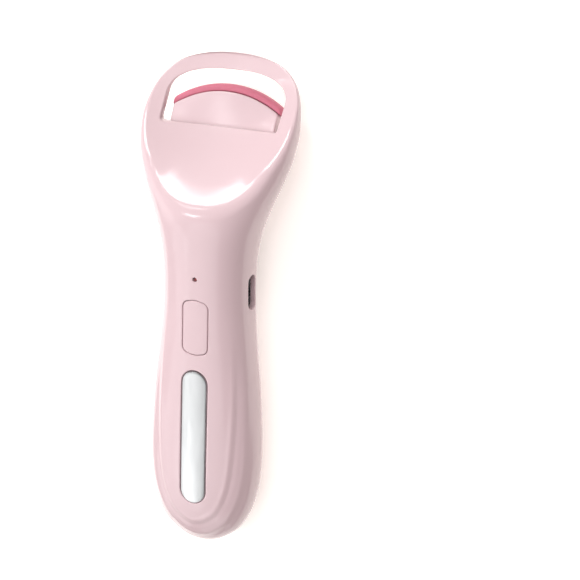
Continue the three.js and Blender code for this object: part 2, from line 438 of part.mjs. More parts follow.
// ---------------------------------------------------------------- lever and linkage
const half = (LEVER_ANGLE / 2) * DEG;
const pinH = PIVOT.h - CRANK_R * Math.sin(half), pinN = PIVOT.n + CRANK_R * Math.cos(half);
const [pinY, pinZ] = jawYZ(pinH, pinN);
const lever = (() => {
  // outer and inner profile of the finger plate in the YZ plane
  const flat = Math.tan(REST_PITCH * DEG); // the lowest part is flat, in line with the table
  const outer = [[22.6, -10.9], [18.6, -12.0], [13.5, -13.0], [8.5, -13.5], [LEVER_FLAT.y1, LEVER_FLAT.z], [LEVER_FLAT.y0, LEVER_FLAT.z + flat * (LEVER_FLAT.y1 - LEVER_FLAT.y0)], [-3.2, -12.3]];
  const innerP = [[-3.9, -11.4], [-3.2, -10.5], [0, -11.2], [4, -11.7], [8.5, -11.6], [13, -10.8], [17.4, -9.0]];
  const pts = [...outer, ...innerP].reverse();
  let b = prism(pts, -5.6, 5.6, SIDE);
  b = b.add(rod([-5.6, pivotY, pivotZ], [5.6, pivotY, pivotZ], 2.55, 22));
  // two crank arms
  for (const s of [1, -1]) {
    const dy = pinY - pivotY, dz = pinZ - pivotZ, L = Math.hypot(dy, dz), uy = dy / L, uz = dz / L, px = -uz, pz = uy;
    const arm = [[-1.5, 0], [-1.5, L], [1.5, L], [1.5, 0]].map(([a, l]) => [pivotY + uy * l + px * a, pivotZ + uz * l + pz * a]);
    if (THREE.ShapeUtils.area(arm.map(([x, y]) => new THREE.Vector2(x, y))) < 0) arm.reverse();
    const x0 = s > 0 ? 3.7 : -5.6, x1 = s > 0 ? 5.6 : -3.7;
    b = b.add(prism(arm, x0, x1, SIDE)).add(rod([x0, pinY, pinZ], [x1, pinY, pinZ], 1.5, 16));
  }
  b = b.subtract(rod([-8, pivotY, pivotZ], [8, pivotY, pivotZ], 1.2, 16));
  b = b.subtract(rod([-8, pinY, pinZ], [8, pinY, pinZ], 0.95, 14));
  return b;
})();
const hingePin = rod([-7.5, pivotY, pivotZ], [7.5, pivotY, pivotZ], 1.0, 16);
const drivePin = rod([-5.5, pinY, pinZ], [5.5, pinY, pinZ], 0.75, 14);
const spring = (() => {
  const turns = 5, n = 60, pts = [], R = 1.7, h0 = 26.85, h1 = 35.3, nc = 10.3;
  for (let i = 0; i <= n; i++) {
    const a = (2 * Math.PI * turns * i) / n, h = h0 + ((h1 - h0) * i) / n;
    const [y, z] = jawYZ(h, nc + R * Math.sin(a));
    pts.push([R * Math.cos(a), y, z]);
  }
  return tube(pts, 0.28, 6, 72);
})();

// ---------------------------------------------------------------- screws
const screw = (x, y, zs) => rod([x, y, zs + 0.9], [x, y, zs + 1.75], 1.8, 16).add(rod([x, y, zs + 1.6], [x, y, zs + 6.6], 0.6, 10));

// ---------------------------------------------------------------- scene graph
const root = new THREE.Group();
const fit = new THREE.Group();
root.add(fit);
const COLOURS = {
  pink: [0xefd2d6, 0.42, 0], pinkIn: [0xe6c3c9, 0.6, 0], pad: [0xdc6a7e, 0.55, 0], silver: [0xd9dee0, 0.32, 0.9], steel: [0xb9bcc0, 0.3, 1],
  alu: [0xc8cbd0, 0.4, 1], pcb: [0x1f6b3f, 0.5, 0], black: [0x202022, 0.5, 0], red: [0xb5202a, 0.5, 0], cell: [0x6f7f96, 0.45, 0.3], foam: [0x5a5a5e, 0.95, 0],
  clear: [0xf4f1ee, 0.2, 0], white: [0xf2efe9, 0.6, 0],
};
function place(name, man, c) {
  const m = man.getMesh(), np = m.numProp, v = new Float32Array(m.numVert * 3);
  for (let i = 0; i < m.numVert; i++) v.set(m.vertProperties.subarray(i * np, i * np + 3), i * 3);
  const g = new THREE.BufferGeometry();
  g.setAttribute("position", new THREE.BufferAttribute(v, 3));
  g.setIndex(new THREE.BufferAttribute(m.triVerts, 1));
  g.computeVertexNormals();
  const [color, roughness, metalness] = COLOURS[c];
  const mesh = new THREE.Mesh(g, new THREE.MeshStandardMaterial({ color, roughness, metalness }));
  mesh.name = name;
  fit.add(mesh);
  return mesh;
}
const parts = [
  ["front_shell", largest(frontShell), "pink"], ["rear_shell", largest(rearShell), "pink"], ["trim_strip", trimStrip, "silver"],
  ["power_button", powerButton, "pink"], ["light_pipe", lightPipe, "clear"],
  ["main_board", pcb, "pcb"], ["tact_switch", tactSwitch, "black"], ["indicator_led", led, "white"], ["charge_controller", chargeIc, "black"], ["heater_driver", heaterIc, "black"],
  ["usb_shell", usbShell, "steel"], ["usb_tongue", usbTongue, "black"],
  ["battery_cell", battery, "cell"], ["battery_foam", batteryFoam, "foam"], ["battery_lead_red", leadRed, "red"], ["battery_lead_black", leadBlack, "black"],
  ["heater_lead_right", heaterLead(1), "white"], ["heater_lead_left", heaterLead(-1), "white"],
  ["jaw_cover", jawCoverDrilled, "pink"], ["jaw_carriage", jawBack, "pinkIn"], ["heater_plate", heaterPlate, "alu"], ["ptc_element", ptc, "white"], ["thermistor", thermistor, "black"],
  ["silicone_pad", pad, "pad"], ["jaw_screw_right", jawScrew(1), "steel"], ["jaw_screw_left", jawScrew(-1), "steel"],
  ["press_lever", lever, "pink"], ["hinge_pin", hingePin, "steel"], ["drive_pin", drivePin, "steel"], ["return_spring", spring, "steel"],
  ...SCREWS.map(([x, y], i) => ["rear_screw_" + (i + 1), screw(x, y, screwSeat[i]), "steel"]),
];
for (const [name, man, c] of parts) place(name, man, c);

// The curler lies on its back: turn it until the lever and the handle touch the table, then lift it onto z = 0.
fit.rotation.x = REST_PITCH * DEG;
fit.updateMatrixWorld(true);
const bb = new THREE.Box3();
const vtx = new THREE.Vector3();
for (const mesh of fit.children) {
  const p = mesh.geometry.attributes.position;
  for (let i = 0; i < p.count; i++) bb.expandByPoint(vtx.fromBufferAttribute(p, i).applyMatrix4(fit.matrixWorld));
}
fit.position.set(0, -(bb.min.y + bb.max.y) / 2, -bb.min.z);
root.updateMatrixWorld(true);

export default root;
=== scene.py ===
import math
import bmesh
import bpy
import numpy as np
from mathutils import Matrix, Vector
from mathutils.geometry import delaunay_2d_cdt
from mathutils.kdtree import KDTree


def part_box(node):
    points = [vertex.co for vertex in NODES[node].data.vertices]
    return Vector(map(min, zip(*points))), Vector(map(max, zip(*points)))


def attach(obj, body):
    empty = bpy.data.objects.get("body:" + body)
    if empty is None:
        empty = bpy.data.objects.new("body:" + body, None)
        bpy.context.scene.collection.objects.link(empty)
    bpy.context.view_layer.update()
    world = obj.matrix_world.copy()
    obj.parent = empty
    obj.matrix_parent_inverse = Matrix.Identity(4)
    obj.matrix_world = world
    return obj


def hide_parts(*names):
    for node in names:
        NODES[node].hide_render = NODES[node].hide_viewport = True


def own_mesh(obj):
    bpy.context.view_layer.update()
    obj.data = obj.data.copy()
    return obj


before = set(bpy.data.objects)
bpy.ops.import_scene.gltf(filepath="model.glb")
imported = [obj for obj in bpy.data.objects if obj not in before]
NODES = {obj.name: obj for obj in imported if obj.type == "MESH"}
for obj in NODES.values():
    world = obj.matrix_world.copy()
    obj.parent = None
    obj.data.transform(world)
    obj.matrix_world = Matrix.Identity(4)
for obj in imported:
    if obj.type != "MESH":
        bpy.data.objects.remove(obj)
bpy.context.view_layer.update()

# Heated eyelash curler. Every shape below is worked out in millimetres in the housing's own
# frame (X to the inlet's side, Y to the head, Z out of the front face) and then turned into
# the row frame, in metres, by to_row().
REST_PITCH = math.radians(6.61)
JAW_TILT = math.radians(24.0)
CP, SP = math.cos(REST_PITCH), math.sin(REST_PITCH)
CJ, SJ = math.cos(JAW_TILT), math.sin(JAW_TILT)
PIVOT_H, PIVOT_N = 22.08, 0.31
PIVOT_Y, PIVOT_Z = CJ * PIVOT_H + SJ * PIVOT_N, -SJ * PIVOT_H + CJ * PIVOT_N

_lo, _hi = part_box("hinge_pin")
_c = (_lo + _hi) * 500.0
SHIFT_Y = _c.y - (PIVOT_Y * CP - PIVOT_Z * SP)
SHIFT_Z = _c.z - (PIVOT_Y * SP + PIVOT_Z * CP)


def to_row(v):
    """Housing frame, mm, to row frame, m."""
    v = np.asarray(v, float)
    x, y, z = v[..., 0], v[..., 1], v[..., 2]
    return np.stack([x, y * CP - z * SP + SHIFT_Y, y * SP + z * CP + SHIFT_Z], -1) / 1000.0


def from_jaw(v):
    """Jaw frame (x, h along the slide, n out of its face) to housing frame."""
    v = np.asarray(v, float)
    x, h, n = v[..., 0], v[..., 1], v[..., 2]
    return np.stack([x, CJ * h + SJ * n, -SJ * h + CJ * n], -1)


# ------------------------------------------------------------------ the housing's skin
OUT = np.array([
    [0, -69.95], [3.93, -69.35], [7.72, -67.35], [11.13, -64.3], [13.87, -59.0], [15.47, -52.5], [16.02, -45.5],
    [15.89, -38.0], [15.39, -30.5], [14.74, -23.0], [13.86, -15.5], [13.16, -8.5], [12.75, -1.7], [12.68, 5.2],
    [13.13, 12.0], [14.46, 18.5], [16.75, 24.6], [19.21, 30.5], [21.2, 36.4], [21.95, 42.4], [21.77, 47.0],
    [20.56, 51.6], [18.21, 55.4], [14.32, 58.4], [9.59, 59.94], [4.8, 60.71], [0, 60.91]])
ZW = [[-72, 3.8], [-56, 2.7], [-40, 1.8], [-15, 0.5], [0, -0.25], [12, -0.25], [20, -0.55], [27.5, -1.3], [33.4, -2.45], [39.5, -4.05], [45.4, -6.4], [50.9, -8.82], [55.8, -11.35], [61.2, -14.3]]
HF = [[-72, 7.0], [-60, 7.8], [-40, 8.2], [-20, 8.4], [0, 8.9], [12, 9.1], [20, 9.6], [27, 9.6], [36, 8.2], [44, 6.6], [50, 4.6], [56, 3.2], [61.2, 2.3]]
HB = [[-72, 8.0], [-55, 9.6], [-40, 9.8], [-15, 8.6], [0, 7.9], [10, 9.2], [20, 10.9], [27, 11.2], [33, 10.6], [40, 9.0], [43, 7.2], [46.5, 3.1], [50, 2.5], [56, 2.3], [61.2, 2.1]]
FRONT_POWER = [[-72, 2.35], [30, 2.35], [38, 2.45], [46, 2.9], [52, 3.4], [61.2, 3.6]]
BACK_POWER = [[-72, 2.0], [30, 2.0], [38, 2.2], [46, 2.9], [52, 3.4], [61.2, 3.6]]
SCOOP = [[15, 14.6], [23, 9.3], [30, 4.3], [36, -0.3], [43, -5.65], [48, -8.7], [52, -10.9], [56.5, -12.9], [61.2, -15.0]]
DISH = [[20, 0], [27, 0.002], [31, 0.0045], [36, 0.0075], [44, 0.008], [50, 0.006], [56, 0.004]]
SCOOP_BLEND = 1.6
TERRACE_1 = [0.61, 0.6, 0.59, 0.585, 0.595, 0.62, 0.65, 0.687, 0.72, 0.74, 0.76, 0.77]
TERRACE_2 = [0.86, 0.845, 0.825, 0.815, 0.83, 0.86, 0.885, 0.905, 0.92, 0.935, 0.955, 0.96]
TERRACE_FADE = [1, 1, 1, 1, 1, 1, 1, 1, 0.95, 0.75, 0.35, 0]
TERRACE_RISE, TERRACE_WIDTH = 0.13, 0.04
WALL, SPLIT_DROP, SPLIT_GAP, SPLIT_END_Y = 1.6, 3.8, 0.15, 42.6
STRIP = (-56.8, -19.0, 3.85)
BUTTON = (-14.8, 0.3, 3.75)
LED_Y = 5.9
USB_Y, USB_Z, USB_W, USB_H = 2.0, 0.55, 9.4, 3.4
SCREWS = [(0, -62.2), (7.7, -15.6), (-7.7, -15.6), (11.0, 28.2), (-11.0, 28.2)]


def pchip(tab):
    x, y = np.array([p[0] for p in tab], float), np.array([p[1] for p in tab], float)
    h = np.diff(x)
    d = np.diff(y) / h
    m = np.zeros(len(x))
    for i in range(1, len(x) - 1):
        if d[i - 1] * d[i] > 0:
            w1, w2 = 2 * h[i] + h[i - 1], h[i] + 2 * h[i - 1]
            m[i] = (w1 + w2) / (w1 / d[i - 1] + w2 / d[i])
    m[0], m[-1] = d[0], d[-1]

    def f(q):
        q = np.clip(np.asarray(q, float), x[0], x[-1])
        i = np.clip(np.searchsorted(x, q, side="right") - 1, 0, len(x) - 2)
        s = (q - x[i]) / h[i]
        s2 = s * s
        s3 = s2 * s
        return (2 * s3 - 3 * s2 + 1) * y[i] + (s3 - 2 * s2 + s) * h[i] * m[i] + (-2 * s3 + 3 * s2) * y[i + 1] + (s3 - s2) * h[i] * m[i + 1]
    return f


zw, hf, hb, scoop0, dish, pf, pb = (pchip(t) for t in (ZW, HF, HB, SCOOP, DISH, FRONT_POWER, BACK_POWER))
ter1, ter2, fade = (pchip([[k / 26, v] for k, v in enumerate(t)]) for t in (TERRACE_1, TERRACE_2, TERRACE_FADE))
_PADDED = np.vstack([OUT[1] * [-1, 1], OUT, OUT[-2] * [-1, 1]])


def outline(t):
    t = np.clip(np.asarray(t, float), 0, 1)
    u = t * 26
    i = np.minimum(np.floor(u).astype(int), 25)
    s = (u - i)[..., None]
    a, b, c, d = _PADDED[i], _PADDED[i + 1], _PADDED[i + 2], _PADDED[i + 3]
    r = 0.5 * (2 * b + (c - a) * s + (2 * a - 5 * b + 4 * c - d) * s ** 2 + (3 * b - a - 3 * c + d) * s ** 3)
    return np.where((t <= 0) | (t >= 1), 0.0, r[..., 0]), r[..., 1]


def medial(y):
    y = np.asarray(y, float)
    low = -46 - (1 - np.exp(np.minimum(y + 46, 0) / 14)) * 7
    high = 46 + (1 - np.exp(-np.maximum(y - 46, 0) / 10)) * 4
    return np.where(y < -46, low, np.where(y > 46, high, y))


def smin(a, b, k):
    h = np.clip(0.5 + 0.5 * (b - a) / k, 0, 1)
    return b * (1 - h) + a * h - k * h * (1 - h)


def bump(u):
    return -u * np.exp((1 - u * u) / 2)


def skin(t, rho, side, inset=0.0):
    t, rho = np.broadcast_arrays(np.asarray(t, float), np.asarray(rho, float))
    ox, oy = outline(t)
    m = medial(oy)
    L = np.hypot(ox, oy - m)
    q = rho * np.maximum(1 - inset / np.maximum(L, 1e-6), 0.02)
    x, y = ox * q, m + (oy - m) * q
    r = np.clip(rho, 0, 1)
    p = (pb if side < 0 else pf)(y)
    e = np.maximum(1 - r ** p, 0) ** (1 / p)
    if side < 0:
        return np.stack([x, y, zw(y) - np.maximum(hb(y) - inset, 0.3) * e], -1)
    z = zw(y) + np.maximum(hf(y) - inset, 0.3) * e
    f = np.where(t < 11 / 26, fade(t), 0) * TERRACE_RISE
    z = z + f * (bump((r - ter1(t)) / TERRACE_WIDTH) + bump((r - ter2(t)) / TERRACE_WIDTH))
    return np.stack([x, y, smin(z, scoop0(y) + dish(y) * x * x - inset, SCOOP_BLEND)], -1)


_TT = np.linspace(0, 1, 20001)
_TX, _TY = outline(_TT)
_TLO, _THI = np.interp(-46, _TY, _TT), np.interp(46, _TY, _TT)


def locate(x, y):
    """Outline station and fraction from the medial line to the edge of a plan point."""
    a, y = np.abs(np.asarray(x, float)), np.asarray(y, float)
    t = np.interp(y, _TY, _TT)
    for mask, lo0, hi0 in ((y < -46, 0.0, _TLO), (y > 46, _THI, 1.0)):
        if mask.any():
            am, ym = a[mask], y[mask]
            lo, hi = np.full(am.shape, lo0), np.full(am.shape, hi0)
            for _ in range(45):
                mid = (lo + hi) / 2
                ox, oy = outline(mid)
                m = medial(oy)
                up = am * (oy - m) - (ym - m) * ox > 0
                hi = np.where(up, mid, hi)
                lo = np.where(up, lo, mid)
            t[mask] = (lo + hi) / 2
    ox, oy = outline(t)
    m = medial(oy)
    return t, np.hypot(a, y - m) / np.maximum(np.hypot(ox, oy - m), 1e-9)


def height(p, side=1):
    """Height of the skin at plan points (N, 2)."""
    p = np.asarray(p, float)
    t, rho = locate(p[..., 0].ravel(), p[..., 1].ravel())
    return skin(t, np.minimum(rho, 0.9999), side)[..., 2].reshape(p.shape[:-1])


# ------------------------------------------------------------------ mesh helpers
_temps = []


def build(name, verts, faces, row=False, keep=True):
    me = bpy.data.meshes.new(name)
    v = to_row(verts) if row else np.asarray(verts, float)
    me.from_pydata([tuple(p) for p in v], [], [tuple(int(i) for i in f) for f in faces])
    me.validate()
    ob = bpy.data.objects.new(name, me)
    bpy.context.scene.collection.objects.link(ob)
    if not keep:
        _temps.append(ob)
    return ob


def weld(verts, faces, tol=1e-5):
    key = np.round(np.asarray(verts) / tol).astype(np.int64)
    _, first, inverse = np.unique(key, axis=0, return_index=True, return_inverse=True)
    inverse = inverse.ravel()
    out = []
    for f in faces:
        g = []
        for i in f:
            j = int(inverse[i])
            if not g or g[-1] != j:
                g.append(j)
        while len(g) > 1 and g[0] == g[-1]:
            g.pop()
        if len(g) >= 3 and len(set(g)) == len(g):
            out.append(g)
    return np.asarray(verts)[first], out


def rings_solid(rings, caps=(None, None)):
    """A closed solid of stacked rings (each (N, 3), anticlockwise seen from above, lowest first). caps: None for a fan,
    or a function ring -> (extra points, triangles over ring indices then extra ones)."""
    n = len(rings[0])
    verts = [np.asarray(r, float) for r in rings]
    faces = []
    for k in range(len(rings) - 1):
        a, b = k * n, (k + 1) * n
        for i in range(n):
            j = (i + 1) % n
            faces.append((a + i, a + j, b + j, b + i))
    total = n * len(rings)
    for which, ring, base, flip in ((0, rings[0], 0, True), (1, rings[-1], (len(rings) - 1) * n, False)):
        cap = caps[which]
        if cap is None:
            extra = np.mean(ring, 0)[None]
            tris = [(i, (i + 1) % n, n) for i in range(n)]
        else:
            extra, tris = cap(ring)
        ids = list(range(base, base + n)) + list(range(total, total + len(extra)))
        for f in tris:
            g = tuple(ids[i] for i in f)
            faces.append(g[::-1] if flip else g)
        verts.append(extra)
        total += len(extra)
    return np.vstack(verts), faces


def poly_normals(p):
    """Outward normals of an anticlockwise closed plan curve."""
    d = np.roll(p, -1, 0) - np.roll(p, 1, 0)
    d /= np.maximum(np.linalg.norm(d, axis=1, keepdims=True), 1e-9)
    return np.stack([d[:, 1], -d[:, 0]], -1)


def resample(p, step):
    p = np.asarray(p, float)
    q = np.vstack([p, p[:1]])
    s = np.concatenate([[0], np.cumsum(np.linalg.norm(np.diff(q, axis=0), axis=1))])
    n = max(int(round(s[-1] / step)), 8)
    u = np.linspace(0, s[-1], n, endpoint=False)
    return np.stack([np.interp(u, s, q[:, 0]), np.interp(u, s, q[:, 1])], -1)


def smooth_loop(p, times=2):
    for _ in range(times):
        p = 0.25 * np.roll(p, 1, 0) + 0.5 * p + 0.25 * np.roll(p, -1, 0)
    return p


def fill(ring2, step):
    """Triangles over a closed plan curve with inner points step apart: (inner points, triangles)."""
    ring2 = np.asarray(ring2, float)
    lo, hi = ring2.min(0), ring2.max(0)
    pts = []
    rows = int((hi[1] - lo[1]) / (step * 0.866)) + 1
    for r in range(1, rows):
        y = lo[1] + r * step * 0.866
        xs = np.arange(lo[0] + (step / 2 if r % 2 else 0), hi[0], step)
        pts.append(np.stack([xs, np.full(len(xs), y)], -1))
    pts = np.vstack(pts) if pts else np.zeros((0, 2))
    inside = np.zeros(len(pts), bool)
    n = len(ring2)
    for i in range(n):
        (x1, y1), (x2, y2) = ring2[i], ring2[(i + 1) % n]
        if y1 == y2:
            continue
        cond = (pts[:, 1] > y1) != (pts[:, 1] > y2)
        xc = (x2 - x1) * (pts[:, 1] - y1) / (y2 - y1) + x1
        inside ^= cond & (pts[:, 0] < xc)
    pts = pts[inside]
    kd = KDTree(n)
    for i, q in enumerate(ring2):
        kd.insert((q[0], q[1], 0), i)
    kd.balance()
    keep = [kd.find((q[0], q[1], 0))[2] > 0.55 * step for q in pts]
    pts = pts[np.array(keep, bool)] if len(pts) else pts
    allp = np.vstack([ring2, pts])
    out = delaunay_2d_cdt([Vector(q) for q in allp], [(i, (i + 1) % n) for i in range(n)], [list(range(n))], 1, 1e-6)
    back = [min(o) if o else -1 for o in out[3]]
    tris = [tuple(back[i] for i in f) for f in out[2]]
    return pts, [f for f in tris if -1 not in f]


def boolean(base, ops, name):
    """base with each (object, operation) applied; the cutters are thrown away later."""
    for ob, op in ops:
        m = base.modifiers.new("cut", "BOOLEAN")
        m.object, m.operation, m.solver = ob, op, "MANIFOLD"
    dg = bpy.context.evaluated_depsgraph_get()
    me = bpy.data.meshes.new_from_object(base.evaluated_get(dg))
    me.name = name
    for m in list(base.modifiers):
        base.modifiers.remove(m)
    ob = bpy.data.objects.new(name, me)
    bpy.context.scene.collection.objects.link(ob)
    return ob


def clear_temps():
    for ob in _temps:
        me = ob.data
        bpy.data.objects.remove(ob)
        if me.users == 0:
            bpy.data.meshes.remove(me)
    _temps.clear()


def keep_largest(ob):
    bm = bmesh.new()
    bm.from_mesh(ob.data)
    seen, best = set(), []
    bm.verts.ensure_lookup_table()
    for v in bm.verts:
        if v.index in seen:
            continue
        stack, comp = [v], []
        seen.add(v.index)
        while stack:
            w = stack.pop()
            comp.append(w)
            for e in w.link_edges:
                o = e.other_vert(w)
                if o.index not in seen:
                    seen.add(o.index)
                    stack.append(o)
        if len(comp) > len(best):
            best = comp
    keep = set(v.index for v in best)
    bmesh.ops.delete(bm, geom=[v for v in bm.verts if v.index not in keep], context="VERTS")
    bmesh.ops.dissolve_degenerate(bm, dist=1e-4, edges=bm.edges)
    bm.to_mesh(ob.data)
    bm.free()


def settle(ob, material, body, replaces=(), angle=38.0, in_row=False, bevel=None):
    """Turns a piece built in millimetres into the row frame and finishes it."""
    me = ob.data
    if not in_row:
        co = np.zeros(len(me.vertices) * 3)
        me.vertices.foreach_get("co", co)
        me.vertices.foreach_set("co", to_row(co.reshape(-1, 3)).ravel())
    me.materials.clear()
    me.materials.append(material)
    for a in ("sharp_edge", "sharp_face"):
        if a in me.attributes:
            me.attributes.remove(me.attributes[a])
    bm = bmesh.new()
    bm.from_mesh(me)
    bmesh.ops.recalc_face_normals(bm, faces=bm.faces)
    lim = math.radians(angle)
    for f in bm.faces:
        f.smooth = True
        f.material_index = 0
    for e in bm.edges:
        e.smooth = not (len(e.link_faces) == 2 and e.calc_face_angle(0.0) > lim)
    bm.to_mesh(me)
    bm.free()
    me.update()
    if bevel:
        b = ob.modifiers.new("bevel", "BEVEL")
        b.width, b.segments, b.limit_method, b.angle_limit = bevel, 2, "ANGLE", math.radians(35)
    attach(ob, body)
    if replaces:
        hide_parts(*replaces)
    return ob


# ------------------------------------------------------------------ materials
def srgb(r, g, b):
    f = lambda c: (c / 255 / 12.92) if c / 255 <= 0.04045 else ((c / 255 + 0.055) / 1.055) ** 2.4
    return (f(r), f(g), f(b), 1.0)


class Mat:
    def __init__(self, name):
        self.m = bpy.data.materials.new(name)
        self.m.use_nodes = True
        self.nt = self.m.node_tree
        self.bsdf = self.nt.nodes["Principled BSDF"]
        self.coord = self.nt.nodes.new("ShaderNodeTexCoord")

    def set(self, **kw):
        for k, v in kw.items():
            self.bsdf.inputs[k.replace("_", " ")].default_value = v
        return self

    def noise(self, scale, detail=3.0, rough=0.5, stretch=None):
        n = self.nt.nodes.new("ShaderNodeTexNoise")
        n.inputs["Scale"].default_value = scale
        n.inputs["Detail"].default_value = detail
        n.inputs["Roughness"].default_value = rough
        src = self.coord.outputs["Object"]
        if stretch:
            mp = self.nt.nodes.new("ShaderNodeMapping")
            mp.inputs["Scale"].default_value = stretch
            self.nt.links.new(src, mp.inputs["Vector"])
            src = mp.outputs["Vector"]
        self.nt.links.new(src, n.inputs["Vector"])
        return n.outputs["Fac"]

    def ramp(self, fac, stops):
        r = self.nt.nodes.new("ShaderNodeValToRGB")
        cr = r.color_ramp
        while len(cr.elements) < len(stops):
            cr.elements.new(0.5)
        for e, (p, c) in zip(cr.elements, stops):
            e.position = p
            e.color = c if len(c) == 4 else (*c, 1)
        self.nt.links.new(fac, r.inputs["Fac"])
        return r.outputs["Color"]

    def span(self, fac, lo, hi):
        r = self.nt.nodes.new("ShaderNodeMapRange")
        r.inputs["To Min"].default_value = lo
        r.inputs["To Max"].default_value = hi
        r.inputs["From Min"].default_value = 0.3
        r.inputs["From Max"].default_value = 0.7
        self.nt.links.new(fac, r.inputs["Value"])
        return r.outputs["Result"]

    def link(self, out, socket):
        self.nt.links.new(out, self.bsdf.inputs[socket])
        return self

    def bumps(self, layers):
        """layers: (height output, distance in m, strength), chained."""
        prev = None
        for out, dist, strength in layers:
            b = self.nt.nodes.new("ShaderNodeBump")
            b.inputs["Distance"].default_value = dist
            b.inputs["Strength"].default_value = strength
            self.nt.links.new(out, b.inputs["Height"])
            if prev:
                self.nt.links.new(prev, b.inputs["Normal"])
            prev = b.outputs["Normal"]
        self.nt.links.new(prev, self.bsdf.inputs["Normal"])
        return self


def plastic(name, base, rough=0.4, var=0.03, coat=0.0, coat_rough=0.1, sss=0.12, grain=0.00001, spec=0.5):
    """Moulded plastic: faint flow variation in colour, uneven gloss and a fine orange-peel surface."""
    m = Mat(name)
    lo = tuple(c * (1 - var) for c in base[:3])
    hi = tuple(min(c * (1 + var * 0.6), 1) for c in base[:3])
    m.link(m.ramp(m.noise(55, 4, 0.55), [(0.3, lo), (0.7, hi)]), "Base Color")
    m.link(m.span(m.noise(420, 3), rough - 0.04, rough + 0.04), "Roughness")
    m.set(Subsurface_Weight=sss, Subsurface_Radius=(0.0012, 0.0006, 0.0005), Specular_IOR_Level=spec, Coat_Weight=coat, Coat_Roughness=coat_rough)
    m.bsdf.inputs["Subsurface Scale"].default_value = 1.0
    m.bumps([(m.noise(900, 2), grain, 0.5), (m.noise(5200, 2), grain * 0.3, 0.4)])
    return m.m


def metal(name, base, rough=0.3, var=0.05, grain_dir=(1, 1, 1), scale=700, depth=0.000004):
    m = Mat(name)
    lo = tuple(c * (1 - var) for c in base[:3])
    hi = tuple(min(c * (1 + var), 1) for c in base[:3])
    m.link(m.ramp(m.noise(scale * 0.3, 3, 0.6, grain_dir), [(0.3, lo), (0.7, hi)]), "Base Color")
    m.link(m.span(m.noise(scale, 3, 0.6, grain_dir), rough - 0.06, rough + 0.06), "Roughness")
    m.set(Metallic=1.0)
    m.bumps([(m.noise(scale * 2, 3, 0.6, grain_dir), depth, 0.6)])
    return m.m


PINK = srgb(208, 181, 185)
MAT = {
    "housing": plastic("housing_pink", PINK, 0.45, 0.012, coat=1.0, coat_rough=0.11, sss=0.0),
    "jaw": plastic("jaw_pink", PINK, 0.45, 0.012, coat=1.0, coat_rough=0.16, sss=0.0),
    "button": plastic("button_pink", PINK, 0.45, 0.012, coat=0.8, coat_rough=0.2, sss=0.0),
    "lever": plastic("lever_pink", PINK, 0.4, 0.015, coat=0.2, coat_rough=0.2),
    "silicone": plastic("rose_silicone", srgb(191, 108, 126), 0.5, 0.05, sss=0.15, grain=0.00002, spec=0.4),
    "strip": metal("satin_silver", (0.86, 0.87, 0.875), 0.34, 0.02, (1, 0.15, 1), 900, 0.000002),
    "steel": metal("plated_steel", (0.62, 0.63, 0.65), 0.28, 0.06),
    "plate": metal("bare_sheet", (0.7, 0.71, 0.73), 0.38, 0.05, (1, 6, 1)),
    "board": plastic("solder_mask", (0.02, 0.12, 0.05), 0.35, 0.2, sss=0.0),
    "black": plastic("moulded_black", (0.012, 0.012, 0.014), 0.42, 0.3, sss=0.0),
    "cell": plastic("cell_film", (0.16, 0.22, 0.34), 0.3, 0.1, sss=0.0),
    "foam": plastic("soft_foam", (0.07, 0.07, 0.075), 0.95, 0.4, sss=0.0, grain=0.00012),
    "red": plastic("red_jacket", (0.45, 0.01, 0.015), 0.45, 0.1, sss=0.0),
    "blackwire": plastic("black_jacket", (0.015, 0.015, 0.015), 0.45, 0.2, sss=0.0),
    "whitewire": plastic("white_jacket", (0.78, 0.76, 0.72), 0.5, 0.05, sss=0.0),
    "ceramic": plastic("white_ceramic", (0.8, 0.79, 0.76), 0.6, 0.05, sss=0.0),
    # light pipe: a real part, but its dark red base colour is painted shade standing in for the dark recess of the LED
    # hole
    "pipe": plastic("light_pipe_dark_painted_shade", srgb(140, 60, 60), 0.3, 0.05, sss=0.0),
    "gold": metal("gold_contacts", (0.83, 0.6, 0.25), 0.3, 0.08),
}
for node, key in {
    "main_board": "board", "tact_switch": "black", "indicator_led": "ceramic", "charge_controller": "black", "heater_driver": "black",
    "battery_cell": "cell", "battery_foam": "foam", "battery_lead_red": "red", "battery_lead_black": "blackwire",
    "heater_lead_right": "whitewire", "heater_lead_left": "whitewire", "heater_plate": "plate", "ptc_element": "ceramic",
    "thermistor": "black", "jaw_screw_right": "steel", "jaw_screw_left": "steel", "hinge_pin": "steel", "drive_pin": "steel",
    "return_spring": "steel", "light_pipe": "pipe", "jaw_carriage": "jaw", "usb_tongue": "black", "usb_shell": "steel",
    "front_shell": "housing", "rear_shell": "housing", "trim_strip": "strip", "power_button": "button", "jaw_cover": "jaw",
    "silicone_pad": "silicone", "press_lever": "lever",
    "rear_screw_1": "steel", "rear_screw_2": "steel", "rear_screw_3": "steel", "rear_screw_4": "steel", "rear_screw_5": "steel",
}.items():
    me = NODES[node].data
    me.materials.clear()
    me.materials.append(MAT[key])


# ------------------------------------------------------------------ plan curves
def stadium(y0, y1, half, step=0.5, grow=0.0):
    h, a, b = half + grow, y0 - grow, y1 + grow
    th = np.linspace(0, np.pi, 40)
    p = np.vstack([np.stack([h * np.cos(th), b - h + h * np.sin(th)], -1), np.stack([-h * np.cos(th), a + h - h * np.sin(th)], -1)])
    return resample(p, step)


